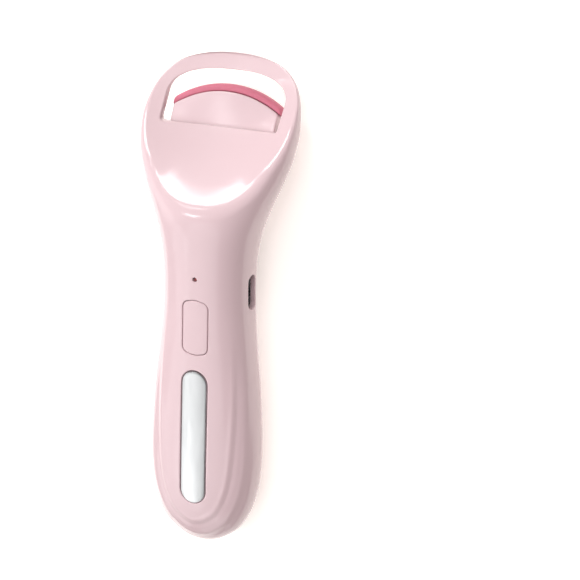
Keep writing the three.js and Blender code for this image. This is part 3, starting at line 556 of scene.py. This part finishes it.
def button_curve(grow=0.0, step=0.3):
    y0, y1, half = BUTTON
    h, a, b, r, arch = half + grow, y0 - grow, y1 + grow, 1.9 + grow, 0.35
    p = []
    for s, ye in ((1, b), (-1, a)):
        th = np.linspace(0, np.pi / 2, 12)
        c = np.stack([h - r + r * np.cos(th), ye - s * (r + arch) + s * r * np.sin(th)], -1)
        xs = np.linspace(h - r, -(h - r), 14)[1:-1]
        mid = np.stack([xs, ye - s * arch * (xs / (h - r)) ** 2], -1)
        d = c[::-1] * [-1, 1]
        e = np.vstack([c, mid, d])
        p.append(e if s > 0 else e[::-1])
    return smooth_loop(resample(np.vstack(p), step), 2)


def window_curve(step=0.35):
    bottom = lambda x: 43.1 + 0.35 * (x / 16.9) ** 2
    xs = np.linspace(0, 16.25, 24)
    pts = [(x, bottom(x)) for x in xs]
    yb = bottom(16.3)
    for a in np.linspace(-90, 0, 8):
        pts.append((16.25 + 0.45 * math.cos(math.radians(a)), yb + 0.45 + 0.45 * math.sin(math.radians(a))))
    top = np.array([(16.9, 48.8), (16.9, 50.4), (16.4, 52.1), (15.2, 53.6), (13.8, 54.5), (12.1, 55.3), (10.3, 55.8), (8.5, 56.2), (5.5, 56.6), (2.6, 56.72), (0, 56.75), (-2.6, 56.72)])
    for k in range(1, len(top) - 2):
        a, b, c, d = top[k - 1], top[k], top[k + 1], top[k + 2]
        for s in np.linspace(0, 1, 8, endpoint=False):
            pts.append(tuple(0.5 * (2 * b + (c - a) * s + (2 * a - 5 * b + 4 * c - d) * s * s + (3 * b - a - 3 * c + d) * s ** 3)))
    right = np.array(pts)
    left = right[1:][::-1] * [-1, 1]
    return smooth_loop(resample(np.vstack([right, [[0, 56.75]], left]), step), 3)


def flare(curve, r, side=1, base=None, reach=12.0, zs=None):
    """Rings of a cutter that leaves a rounded edge of radius r where it comes out of the skin."""
    n = poly_normals(curve)
    zs = zs or (lambda p: height(p, side))
    rings = []

    r = np.broadcast_to(np.asarray(r, float), len(curve))

    def ring(off, depth):
        p = curve + n * (r * off)[:, None]
        rings.append(np.column_stack([p, zs(p) - side * r * depth]))
    ring(0, 1)
    for deg in (10, 20, 30, 40, 50, 60):
        a = math.radians(deg)
        ring(1 - math.cos(a), 1 - math.sin(a))
    ring(0.87, -0.1)
    p = curve + n * (r * 0.87)[:, None]
    rings.append(np.column_stack([p, zs(p) + side * reach]))
    if base is not None:
        first = np.column_stack([curve, base if np.ndim(base) else np.full(len(curve), base)])
        rings.insert(0, first)
    return rings


def cutter(name, rings, side=1):
    if side < 0:
        rings = rings[::-1]
    v, f = rings_solid(rings)
    return build(name, v, f, keep=False)


def prism_x(name, yz, x0, x1):
    """Solid of a closed (y, z) curve between x0 and x1."""
    yz = np.asarray(yz, float)
    area = 0.5 * np.sum(yz[:, 0] * np.roll(yz[:, 1], -1) - np.roll(yz[:, 0], -1) * yz[:, 1])
    if area < 0:
        yz = yz[::-1]
    n = len(yz)
    v = np.vstack([np.column_stack([np.full(n, x), yz]) for x in (x0, x1)])
    f = [tuple(range(n))[::-1], tuple(range(n, 2 * n))] + [(i, (i + 1) % n, n + (i + 1) % n, n + i) for i in range(n)]
    ob = build(name, v, f, keep=False)
    bm = bmesh.new()
    bm.from_mesh(ob.data)
    bmesh.ops.triangulate(bm, faces=[g for g in bm.faces if len(g.verts) > 4])
    bmesh.ops.recalc_face_normals(bm, faces=bm.faces)
    bm.to_mesh(ob.data)
    bm.free()
    return ob


def block(name, x0, x1, y0, y1, z0, z1, jaw=False):
    v = np.array([[x, y, z] for x in (x0, x1) for y in (y0, y1) for z in (z0, z1)], float)
    if jaw:
        v = from_jaw(v)
    f = [(0, 1, 3, 2), (4, 6, 7, 5), (0, 4, 5, 1), (2, 3, 7, 6), (0, 2, 6, 4), (1, 5, 7, 3)]
    return build(name, v, f, keep=False)


def rod(name, a, b, r, seg=48, keep=False):
    a, b = Vector(a), Vector(b)
    d = (b - a).normalized()
    u = d.orthogonal().normalized()
    w = d.cross(u)
    th = np.linspace(0, 2 * np.pi, seg, endpoint=False)
    ring = np.array([list(u * math.cos(t) + w * math.sin(t)) for t in th])
    rings = [np.array(a) + ring * r, np.array(b) + ring * r]
    v, f = rings_solid(rings)
    return build(name, v, f, keep=keep)


# ------------------------------------------------------------------ the two shells
def master_skin():
    """The whole housing as one closed form, with the seam's edges rounded in."""
    s = np.concatenate([[0], np.cumsum(np.hypot(np.diff(_TX), np.diff(_TY)))])
    n = int(s[-1] / 0.48)
    ts = np.interp(np.linspace(0, s[-1], n + 1), s, _TT)
    extra = [SPLIT_END_Y + k * d for d in (0.15, 0.165, 0.19, 0.23, 0.28, 0.36, 0.5) for k in (1, -1)]
    te = np.interp(extra, _TY, _TT)
    ts = ts[np.min(np.abs(_TY_at(ts)[:, None] - np.array(extra)[None]), 1) > 0.13]
    ts = np.unique(np.concatenate([[0, 1], ts, te]))
    a = np.linspace(0, np.pi / 2, 64)
    front = np.sin(a) ** (2 / 2.35)
    front[-1] = 1
    oy = outline(ts)[1]
    m = medial(oy)
    yk = m + (oy - m) * 0.9
    hk, pk = hb(yk), pb(yk)
    drop = np.array([3.5, 3.15, 2.75, 2.35, 1.95, 1.6, 1.25, 0.95, 0.72, 0.55, 0.43, 0.35, 0.29, 0.245, 0.21, 0.185, 0.165, 0.15,
                     0.0, -0.15, -0.165, -0.185, -0.21, -0.245, -0.29, -0.35, -0.43, -0.55, -0.75, -1.0, -1.3])
    e = (SPLIT_DROP - drop)[:, None] / np.maximum(hk, 7.2)[None]
    rb = (1 - e ** pk[None]) ** (1 / pk[None])
    last = rb[-1]
    k = np.linspace(0, 1, 34)[1:]
    inner = last[None] * np.cos(k * np.pi / 2)[:, None] ** 1.0
    inner[-1] = 0
    back = np.vstack([rb, inner])
    F = skin(ts[None, :], front[:, None] * np.ones_like(ts)[None], 1)
    B = skin(np.broadcast_to(ts, back.shape), back, -1)
    # seam: the skin turns in on both sides of the gap
    du = np.gradient(B, axis=0)
    dv = np.gradient(B, axis=1)
    nrm = np.cross(dv, du)
    nrm /= np.maximum(np.linalg.norm(nrm, axis=2, keepdims=True), 1e-12)
    nrm *= np.sign(np.sum(nrm * np.stack([B[..., 0], 0 * B[..., 0], B[..., 2] - zw(B[..., 1])], -1), 2, keepdims=True) + 1e-9)
    y, sz = B[..., 1], B[..., 2] - (zw(B[..., 1]) - SPLIT_DROP)
    below = sz < 0
    d = np.where(y < SPLIT_END_Y, np.abs(sz), 1e9)
    d = np.minimum(d, np.where(below, np.abs(y - SPLIT_END_Y), np.hypot(sz, y - SPLIT_END_Y)))
    r = 0.17
    g = np.clip(d - SPLIT_GAP, 0, r)
    dip = r - np.sqrt(np.maximum(r * r - (r - g) ** 2, 0))
    B = np.where((np.abs(B) < 1e-6) & (np.arange(3) == 0), 0.0, B - nrm * dip[..., None])
    P = np.concatenate([F, B], 0)
    R, C = P.shape[:2]
    right = P.reshape(-1, 3)
    left = right * [-1, 1, 1]
    faces = []
    for i in range(R - 1):
        for j in range(C - 1):
            q = (i * C + j, (i + 1) * C + j, (i + 1) * C + j + 1, i * C + j + 1)
            faces.append(q)
            faces.append(tuple(R * C + v for v in q[::-1]))
    v, f = weld(np.vstack([right, left]), faces)
    return build("master", v, f, keep=False)


def _TY_at(t):
    return outline(t)[1]


def coarse_lens(name, inset, nt=60, rf=(0, 0.3, 0.55, 0.75, 0.9, 1), rb=(0.93, 0.78, 0.5, 0)):
    ts = np.linspace(0, 1, nt)
    F = skin(ts[None, :], np.array(rf)[:, None] * np.ones_like(ts)[None], 1, inset)
    B = skin(ts[None, :], np.array(rb)[:, None] * np.ones_like(ts)[None], -1, inset)
    P = np.concatenate([F, B], 0)
    R, C = P.shape[:2]
    right = P.reshape(-1, 3)
    faces = []
    for i in range(R - 1):
        for j in range(C - 1):
            q = (i * C + j, (i + 1) * C + j, (i + 1) * C + j + 1, i * C + j + 1)
            faces.append(q)
            faces.append(tuple(R * C + v for v in q[::-1]))
    v, f = weld(np.vstack([right, right * [-1, 1, 1]]), faces)
    return build(name, v, f, keep=False)


def split_profile(off, end):
    ys = np.linspace(end, -76, 260)
    pts = [(-90, -60), (end, -60)] + [(y, float(zw(y)) - SPLIT_DROP + off) for y in ys] + [(-90, float(zw(-76)) - SPLIT_DROP + off)]
    return np.array(pts)


master = master_skin()
window = window_curve()
corner = np.clip((np.abs(window[:, 0]) - 13.2) / 1.6, 0, 1) * np.clip((50.5 - window[:, 1]) / 4.0, 0, 1)
_start, _low = height(window, 1) - 1.9, height(window, -1)
_foot = window + poly_normals(window) * (0.47 * corner * np.maximum(_start - _low, 0))[:, None]
wf, wb = flare(window, 0.3, 1), flare(_foot, 0.5, -1)
_start = np.maximum(_start, wb[0][:, 2] + 0.3)
draft = [np.column_stack([window * (1 - f) + _foot * f, _start * (1 - f) + wb[0][:, 2] * f]) for f in (0.66, 0.33, 0.0)]
window_cut = cutter("window_cut", wb[::-1] + draft + wf)
cavity = boolean(coarse_lens("cavity", WALL), [(block("cb", -40, 40, -80, 41.2, -60, 60), "INTERSECT")], "cavity2")
_temps.append(cavity)
xs = np.linspace(15.4, -15.4, 25)
tun = [(-15.4, 6.1), (15.4, 6.1)] + [(x, 11.6 + 0.7 * (x / 15) ** 2) for x in xs]
tv = from_jaw(np.vstack([[(x, h, n) for x, n in tun] for h in (35.2, 60.0)]))
nt_ = len(tun)
tunnel0 = build("tunnel0", tv, [tuple(range(nt_)), tuple(range(nt_, 2 * nt_))[::-1]] + [(i, nt_ + i, nt_ + (i + 1) % nt_, (i + 1) % nt_) for i in range(nt_)], keep=False)
_bm = bmesh.new()
_bm.from_mesh(tunnel0.data)
bmesh.ops.triangulate(_bm, faces=[g for g in _bm.faces if len(g.verts) > 4])
bmesh.ops.recalc_face_normals(_bm, faces=_bm.faces)
_bm.to_mesh(tunnel0.data)
_bm.free()
tunnel = boolean(tunnel0, [(block("tb", -40, 40, -80, 46, -60, 60), "INTERSECT")], "tunnel2")
_temps.append(tunnel)

strip_c = stadium(*STRIP)
strip_rings = flare(strip_c, 0.28, 1, base=height(strip_c) - 0.95)
button_c = button_curve()
button_rings = flare(button_c, 0.26, 1, base=2.0)
th = np.linspace(0, 2 * np.pi, 40, endpoint=False)
led_rings = flare(np.stack([0.62 * np.cos(th), LED_Y + 0.62 * np.sin(th)], -1), 0.16, 1, base=2.0)


def usb_cut():
    """The inlet's opening, cut in from the side with a rounded edge."""
    def curve(grow):
        h, w = USB_H / 2 + grow, USB_W / 2 + grow
        t = np.linspace(-np.pi / 2, np.pi / 2, 32)
        a = np.stack([w - h + h * np.cos(t), h * np.sin(t)], -1)
        return resample(np.vstack([a, -a]), 0.3)
    c = curve(0)
    n = poly_normals(c)
    probe_r = np.linspace(0.9, 1, 60)

    def side_x(p):
        out = []
        for yy, zz in p:
            t = np.full(60, np.interp(yy + USB_Y, _TY, _TT))
            s = skin(t, probe_r, 1 if zz + USB_Z > float(zw(yy + USB_Y)) else -1)
            o = np.argsort(s[:, 2])
            out.append(np.interp(zz + USB_Z, s[o, 2], s[o, 0]))
        return np.array(out)
    r = 0.4
    rings = []

    def ring(off, depth, x=None):
        p = c + n * off
        xx = side_x(p) - depth if x is None else np.full(len(p), x)
        rings.append(np.column_stack([xx, p[:, 0] + USB_Y, p[:, 1] + USB_Z]))
    ring(0, 0, 9.0)
    ring(0, r)
    for deg in (16, 32, 46, 58):
        a = math.radians(deg)
        ring(r * (1 - math.cos(a)), r * (1 - math.sin(a)))
    ring(r * 0.87, -r * 0.1)
    ring(r * 0.87, 0, 20.0)
    v, f = rings_solid(rings)
    ob = build("usb_cut", v, f, keep=False)
    bm = bmesh.new()
    bm.from_mesh(ob.data)
    bmesh.ops.recalc_face_normals(bm, faces=bm.faces)
    bm.to_mesh(ob.data)
    bm.free()
    return ob


D, U, I = "DIFFERENCE", "UNION", "INTERSECT"
front_ops = [
    (window_cut, D), (prism_x("split_f", split_profile(SPLIT_GAP, SPLIT_END_Y + 0.15), -40, 40), D), (cavity, D), (tunnel, D),
    (block("g1", 16.5, 17.8, 43.6, 47.2, 9.6, 11.2, jaw=True), D), (block("g2", -17.8, -16.5, 43.6, 47.2, 9.6, 11.2, jaw=True), D),
    (cutter("strip_cut", strip_rings), D), (cutter("button_cut", button_rings), D), (cutter("led_cut", led_rings), D), (usb_cut(), D),
]
front = boolean(master, front_ops, "housing_front")
keep_largest(front)

rear_slot = None


def rounded_rect(x0, x1, y0, y1, r, step=0.35):
    p = []
    for cx, cy, a0 in ((x1 - r, y1 - r, 0), (x0 + r, y1 - r, 90), (x0 + r, y0 + r, 180), (x1 - r, y0 + r, 270)):
        for a in np.linspace(a0, a0 + 90, 10):
            p.append((cx + r * math.cos(math.radians(a)), cy + r * math.sin(math.radians(a))))
    return resample(np.array(p), step)


inner = coarse_lens("inner", 0.5, 80, (0, 0.25, 0.5, 0.7, 0.85, 1), (0.93, 0.8, 0.6, 0.3, 0))
ears = boolean(block("ear", -8.4, 8.4, PIVOT_Y - 3.3, PIVOT_Y + 3.3, -30, -4.4), [(inner, I)], "ears")
_temps.append(ears)
slot_curve = rounded_rect(-6.2, 6.2, -5.2, 24.9, 1.4)
rear_ops = [(prism_x("split_r", split_profile(-SPLIT_GAP, SPLIT_END_Y - 0.15), -40, 40), I), (window_cut, D), (cavity, D), (tunnel, D), (ears, U)]
seats = []
for i, (sx, sy) in enumerate(SCREWS):
    zs = float(height(np.array([[abs(sx), sy]]), -1)[0])
    seats.append(zs)
    low = max(float(zw(sy)) - SPLIT_DROP + SPLIT_GAP + 0.15, zs + 1.9 + 1.4)
    pil = boolean(rod("p%d" % i, (sx, sy, zs - 2), (sx, sy, low - 0.5), 2.5), [(inner, I)], "pil%d" % i)
    _temps.append(pil)
    rear_ops.append((pil, U))
rear_ops.append((cutter("slot_cut", flare(slot_curve, 0.45, -1, base=10.0), -1), D))
rear_ops.append((rod("piv", (-7.55, PIVOT_Y, PIVOT_Z), (7.55, PIVOT_Y, PIVOT_Z), 1.08), D))
for i, (sx, sy) in enumerate(SCREWS):
    zs = seats[i]
    c = np.stack([sx + 2.1 * np.cos(th), sy + 2.1 * np.sin(th)], -1)
    rear_ops.append((cutter("cb%d" % i, flare(c, 0.25, -1, base=zs + 1.9), -1), D))
    rear_ops.append((rod("ch%d" % i, (sx, sy, zs - 1), (sx, sy, zs + 9), 1.25, 32), D))
rear = boolean(master, rear_ops, "housing_rear")
keep_largest(rear)
settle(front, MAT["housing"], "housing", ["front_shell"])
settle(rear, MAT["housing"], "housing", ["rear_shell"])
clear_temps()


# ------------------------------------------------------------------ strip and button
def inlay(name, curve, inset, r, thick, step, crown=0.0, half=1.0):
    """A piece that follows the skin: rounded rim, top `inset` under the skin, `thick` deep."""
    n = poly_normals(curve)
    rings = [np.column_stack([curve, height(curve) - inset - thick]), np.column_stack([curve, height(curve) - inset - r])]
    lift = lambda p: crown * np.maximum(1 - (p[:, 0] / half) ** 2, 0)
    for deg in (20, 40, 58, 75, 90):
        a = math.radians(deg)
        p = curve - n * r * (1 - math.cos(a))
        rings.append(np.column_stack([p, height(p) - inset - r * (1 - math.sin(a)) + lift(p) * math.sin(a)]))

    def cap(ring, up):
        pts, tris = fill(ring[:, :2], step)
        z = height(pts) - inset + (lift(pts) if up else -thick)
        return np.column_stack([pts, z]), tris
    v, f = rings_solid(rings, (lambda q: cap(q, False), lambda q: cap(q, True)))
    return build(name, v, f)


strip = inlay("trim_plate", stadium(STRIP[0], STRIP[1], STRIP[2], 0.4, -0.2), 0.1, 0.22, 0.62, 0.5, crown=0.3, half=3.65)
settle(strip, MAT["strip"], "housing", ["trim_strip"])
btn = inlay("button_cap", button_curve(-0.14), 0.02, 0.28, 2.0, 0.5)
settle(btn, MAT["button"], "button", ["power_button"])

# ------------------------------------------------------------------ jaw
ARC_R, ARC_TOP, TONGUE_X = 27.8, 51.0, 14.95
arc = lambda x: ARC_TOP - (ARC_R - np.sqrt(ARC_R ** 2 - np.asarray(x, float) ** 2))


def tongue_front(x, h):
    g = np.clip((h - 42) / 8.5, 0, 1)
    q = (x / 15) ** 2
    return 11.2 + 1.4 * g * (1 - q) + 0.7 * (1 - g) * q


def tongue():
    xs = np.linspace(TONGUE_X, -TONGUE_X, 60)
    p = np.vstack([[(-TONGUE_X, 37.3), (TONGUE_X, 37.3)], np.column_stack([xs, arc(xs)])])
    c = smooth_loop(resample(p, 0.35), 2)
    n = poly_normals(c)
    r = 0.4
    rings = [np.column_stack([c, np.full(len(c), 9.9)])]
    rings.append(np.column_stack([c, tongue_front(c[:, 0], c[:, 1]) - r]))
    for deg in (18, 36, 54, 72, 90):
        a = math.radians(deg)
        q = c - n * r * (1 - math.cos(a))
        rings.append(np.column_stack([q, tongue_front(q[:, 0], q[:, 1]) - r * (1 - math.sin(a))]))

    def top(ring):
        pts, tris = fill(ring[:, :2], 0.6)
        return np.column_stack([pts, tongue_front(pts[:, 0], pts[:, 1])]), tris

    def low(ring):
        pts, tris = fill(ring[:, :2], 1.5)
        return np.column_stack([pts, np.full(len(pts), 9.9)]), tris
    v, f = rings_solid(rings, (low, top))
    return build("jaw_face", from_jaw(v), f)


settle(tongue(), MAT["jaw"], "jaw", ["jaw_cover"])


def pad():
    sec = np.array([[0.0, 7.9], [0.0, 12.0], [0.9, 12.35], [1.7, 12.2], [2.25, 11.5], [2.55, 10.4], [2.55, 9.2], [2.2, 8.2], [1.2, 7.8]])
    for _ in range(3):
        q = np.roll(sec, -1, 0)
        sec = np.stack([0.75 * sec + 0.25 * q, 0.25 * sec + 0.75 * q], 1).reshape(-1, 2)
    X = 15.75
    u = np.concatenate([-X + 0.9 * (1 - np.cos(np.linspace(0, np.pi / 2, 10))), np.linspace(-X + 0.9, X - 0.9, 100)[1:-1], X - 0.9 * (1 - np.cos(np.linspace(np.pi / 2, 0, 10)))])
    rows = []
    for x in u:
        q = (x / 15) ** 2
        d = max(0.0, (abs(x) - (X - 0.9)) / 0.9)
        k = 0.45 + 0.55 * math.sqrt(max(1 - d * d, 0))
        hh = 1.45 + (sec[:, 0] - 1.45) * k
        nn = 10.1 + (sec[:, 1] - 10.1) * k - 1.15 * q * (sec[:, 1] - 7.8) / 4.5
        rows.append(np.column_stack([np.full(len(sec), x), arc(x) + hh, nn]))
    v, f = rings_solid(rows)
    return build("lash_pad", from_jaw(v), f)


settle(pad(), MAT["silicone"], "jaw", ["silicone_pad"])

# ------------------------------------------------------------------ lever
FLAT = math.tan(REST_PITCH)
LEVER_OUT = [(22.6, -10.9), (18.6, -12.0), (13.5, -13.0), (8.5, -13.5), (4.2, -13.7), (-1.6, -13.7 + FLAT * 5.8), (-3.2, -12.3)]
LEVER_IN = [(-3.9, -11.4), (-3.2, -10.5), (0, -11.2), (4, -11.7), (8.5, -11.6), (13, -10.8), (17.4, -9.0)]
half_a = math.radians(7.5)
PIN_H, PIN_N = PIVOT_H - 12.6 * math.sin(half_a), PIVOT_N + 12.6 * math.cos(half_a)
PIN_Y, PIN_Z = CJ * PIN_H + SJ * PIN_N, -SJ * PIN_H + CJ * PIN_N


def lever():
    fo, fi = pchip(LEVER_OUT[::-1]), pchip(LEVER_IN)
    yo, yi = np.linspace(-3.2, 22.6, 70), np.linspace(17.4, -3.2, 60)
    tip = [(-3.75, -10.85), (-3.95, -11.4), (-3.7, -11.95)]
    loop = np.vstack([np.column_stack([yo, fo(yo)]), np.column_stack([yi, fi(yi)]), tip])
    loop = resample(smooth_loop(resample(loop, 0.3), 12), 0.3)
    nrm = poly_normals(loop)
    half, r = 5.6, 0.4
    tip = loop[np.argmax(loop[:, 0])]
    r = r * np.clip(np.hypot(*(loop - tip).T) / 1.6, 0.15, 1)[:, None]
    rings3 = []
    for deg in (0, 22, 44, 66, 90):
        a = math.radians(deg)
        p = loop - nrm * r * (1 - math.sin(a))
        rings3.append(np.column_stack([np.full(len(p), -half + 0.4 * (1 - math.cos(a))), p]))
    rings3 += [np.column_stack([-q[:, 0], q[:, 1:]]) for q in rings3[::-1]]

    def cap(q):
        pts, tris = fill(q[:, 1:], 1.2)
        return np.column_stack([np.full(len(pts), q[0, 0]), pts]), tris
    v, f = rings_solid(rings3, (cap, cap))
    plate = build("press_key", v, f, keep=False)
    bm = bmesh.new()
    bm.from_mesh(plate.data)
    bmesh.ops.recalc_face_normals(bm, faces=bm.faces)
    bm.to_mesh(plate.data)
    bm.free()
    ops = [(rod("hub", (-5.6, PIVOT_Y, PIVOT_Z), (5.6, PIVOT_Y, PIVOT_Z), 2.55), U)]
    dy, dz = PIN_Y - PIVOT_Y, PIN_Z - PIVOT_Z
    L = math.hypot(dy, dz)
    uy, uz = dy / L, dz / L
    for s in (1, -1):
        x0, x1 = (3.7, 5.6) if s > 0 else (-5.6, -3.7)
        arm = [(PIVOT_Y + uy * l - uz * a, PIVOT_Z + uz * l + uy * a) for a, l in ((-1.5, 0), (-1.5, L), (1.5, L), (1.5, 0))]
        ops.append((prism_x("arm", arm, x0, x1), U))
        ops.append((rod("eye", (x0, PIN_Y, PIN_Z), (x1, PIN_Y, PIN_Z), 1.5), U))
    ops.append((rod("bore", (-8, PIVOT_Y, PIVOT_Z), (8, PIVOT_Y, PIVOT_Z), 1.2), D))
    ops.append((rod("bore2", (-8, PIN_Y, PIN_Z), (8, PIN_Y, PIN_Z), 0.95), D))
    plan = rounded_rect(-5.8, 5.8, -4.0, 24.0, 1.9)
    v, f = rings_solid([np.column_stack([plan, np.full(len(plan), z)]) for z in (-30.0, 20.0)])
    ops.append((build("plan", v, f, keep=False), I))
    ob = boolean(plate, ops, "press_key_lever")
    keep_largest(ob)
    return ob


settle(lever(), MAT["lever"], "lever", ["press_lever"])
clear_temps()


# ------------------------------------------------------------------ return spring
def spring():
    """Round wire coil with flattened ends, along the jaw's travel."""
    turns, R, h0, h1, nc, wire = 5, 1.7, 26.85, 35.3, 10.3, 0.28
    u = np.linspace(0, 1, turns * 36 + 1)
    a = 2 * np.pi * turns * u
    e = np.clip((u - 0.07) / 0.86, 0, 1)
    path = from_jaw(np.column_stack([R * np.cos(a), h0 + (h1 - h0) * e, nc + R * np.sin(a)]))
    mid = from_jaw(np.column_stack([0 * a, h0 + (h1 - h0) * e, 0 * a + nc]))
    tan = np.gradient(path, axis=0)
    tan /= np.linalg.norm(tan, axis=1, keepdims=True)
    out = path - mid
    out /= np.linalg.norm(out, axis=1, keepdims=True)
    side = np.cross(tan, out)
    side /= np.linalg.norm(side, axis=1, keepdims=True)
    out = np.cross(side, tan)
    w = np.linspace(0, 2 * np.pi, 12, endpoint=False)
    rings = [p + wire * (np.outer(np.cos(w), o) + np.outer(np.sin(w), b)) for p, o, b in zip(path, out, side)]
    v, f = rings_solid(rings)
    return build("spring_coil", v, f)


coil = settle(spring(), MAT["steel"], "housing", ["return_spring"], angle=60)
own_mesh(coil)


# ------------------------------------------------------------------ screws
def screw(i):
    sx, sy = SCREWS[i]
    zs = seats[i]
    z0, z1 = zs + 0.9, zs + 1.75
    R = 1.8
    prof = [(0.62, zs + 6.6), (0.62, z1), (R - 0.02, z1 - 0.04), (R, z1 - 0.16), (R, z0 + 0.38), (R - 0.1, z0 + 0.2), (R - 0.38, z0 + 0.06), (R - 0.8, z0)]
    rings = [np.column_stack([sx + r * np.cos(th), sy + r * np.sin(th), np.full(len(th), z)]) for r, z in prof[::-1]]
    v, f = rings_solid(rings)
    head = build("sh", v, f, keep=False)
    w, d, L = 0.26, 0.55, 1.05
    ops = []
    for k in (0, 1):
        a, b = (L, w) if k == 0 else (w, L)
        q = np.array([[sx - a, sy - b], [sx + a, sy - b], [sx + a, sy + b], [sx - a, sy + b]])
        q2 = (q - [sx, sy]) * 0.6 + [sx, sy]
        vv, ff = rings_solid([np.column_stack([q * 1.0, np.full(4, z0 - 0.5)]), np.column_stack([q, np.full(4, z0)]), np.column_stack([q2, np.full(4, z0 + d)])])
        ops.append((build("cross%d" % k, vv, ff, keep=False), D))
    return boolean(head, ops, "case_screw_%d" % (i + 1))


for i in range(5):
    settle(screw(i), MAT["steel"], "housing", ["rear_screw_%d" % (i + 1)], angle=30)
clear_temps()


# ------------------------------------------------------------------ stage, camera, light
scene = bpy.context.scene
cam_data = bpy.data.cameras.new("camera")
cam = bpy.data.objects.new("camera", cam_data)
scene.collection.objects.link(cam)
cam_data.sensor_width = 36.0
cam_data.lens = 94.605
cam_data.clip_start, cam_data.clip_end = 0.01, 10
RC = [[0.9119290036066994, -0.14673610911678756, 0.3832153528528821], [0.06385023440092356, 0.9732449934966857, 0.2207200267320195], [-0.40535002152194316, -0.1768126039480854, 0.8968994721468275]]
from mathutils import Matrix
cam.matrix_world = Matrix([[*RC[0], 0.17245056], [*RC[1], 0.09402525], [*RC[2], 0.36349954], [0, 0, 0, 1]])
scene.camera = cam

floor_me = bpy.data.meshes.new("floor")
n_ = 24
fv = [(x * 3.0 / n_ - 1.5, y * 3.0 / n_ - 1.5, 0.0) for y in range(n_ + 1) for x in range(n_ + 1)]
ff = [(y * (n_ + 1) + x, y * (n_ + 1) + x + 1, (y + 1) * (n_ + 1) + x + 1, (y + 1) * (n_ + 1) + x) for y in range(n_) for x in range(n_)]
floor_me.from_pydata(fv, [], ff)
floor = bpy.data.objects.new("floor", floor_me)
scene.collection.objects.link(floor)
fm = Mat("floor_pale")
fm.link(fm.ramp(fm.noise(3, 2), [(0.3, (0.74, 0.725, 0.7)), (0.7, (0.76, 0.745, 0.72))]), "Base Color")
fm.set(Roughness=0.9, Specular_IOR_Level=0.1, Emission_Color=(1, 0.93, 0.88, 1), Emission_Strength=0.56)
floor_me.materials.append(fm.m)

world = bpy.data.worlds.new("world")
world.use_nodes = True
world.node_tree.nodes["Background"].inputs["Color"].default_value = (1, 1, 1, 1)
world.node_tree.nodes["Background"].inputs["Strength"].default_value = 0.02
_wt = world.node_tree
_back = _wt.nodes.new("ShaderNodeBackground")
_back.inputs["Color"].default_value = (0.9, 0.9, 0.9, 1)
_path, _mix = _wt.nodes.new("ShaderNodeLightPath"), _wt.nodes.new("ShaderNodeMixShader")
_wt.links.new(_path.outputs["Is Camera Ray"], _mix.inputs[0])
_wt.links.new(_wt.nodes["Background"].outputs[0], _mix.inputs[1])
_wt.links.new(_back.outputs[0], _mix.inputs[2])
_wt.links.new(_mix.outputs[0], _wt.nodes["World Output"].inputs["Surface"])
scene.world = world
TARGET = Vector((0, 0, 0.012))


def area(name, az, el, size, energy, size_y=None, reach=0.8):
    """A soft light seen from the object at this azimuth and elevation."""
    a, e = math.radians(az), math.radians(el)
    d = bpy.data.lights.new(name, "AREA")
    d.energy, d.size = energy, size
    if size_y:
        d.shape, d.size_y = "RECTANGLE", size_y
    o = bpy.data.objects.new(name, d)
    scene.collection.objects.link(o)
    o.location = TARGET + Vector((math.cos(a) * math.cos(e), math.sin(a) * math.cos(e), math.sin(e))) * reach
    o.rotation_euler = (TARGET - o.location).to_track_quat("-Z", "Y").to_euler()
    return o


def bar(name, first, last, width, energy, reach=0.8):
    """A soft strip light whose ends stand at these two (azimuth, elevation) directions."""
    def point(q):
        a, e = math.radians(q[0]), math.radians(q[1])
        return Vector((math.cos(a) * math.cos(e), math.sin(a) * math.cos(e), math.sin(e))) * reach
    p, q = point(first), point(last)
    z = (p + q).normalized()
    x = (q - p).normalized()
    y = z.cross(x).normalized()
    d = bpy.data.lights.new(name, "AREA")
    d.shape, d.size, d.size_y, d.energy = "RECTANGLE", (q - p).length, width, energy
    o = bpy.data.objects.new(name, d)
    scene.collection.objects.link(o)
    m = Matrix((x, y, z)).transposed().to_4x4()
    m.translation = TARGET + z * reach
    o.matrix_world = m
    return o


# name, azimuth, elevation, size, watts, seen in reflections
LIGHTS = [
    ("left_low", 180, 25, 0.5, 1.06, True), ("left_high", 180, 55, 0.5, 2.15, False), ("tail_left", 225, 30, 0.5, 0.93, True),
    ("tail_low", 270, 25, 0.5, 0.69, True), ("tail_high", 240, 56, 0.5, 0.75, True), ("head_high", 80, 50, 0.5, 2.35, False),
    ("over_camera", 30, 72, 0.5, 2.3, False), ("head_left", 135, 25, 0.5, 2.65, False),
]
for name, az, el, size, watts, gloss in LIGHTS:
    area(name, az, el, size, watts).visible_glossy = gloss
bar("highlight", (116.5, 43.5), (132.5, 36), 0.12, 0.85)
area("highlight_tip", 134, 50, 0.055, 0.06)
area("highlight_small", 162, 61, 0.07, 0.2)
scene.view_settings.view_transform = "Standard"
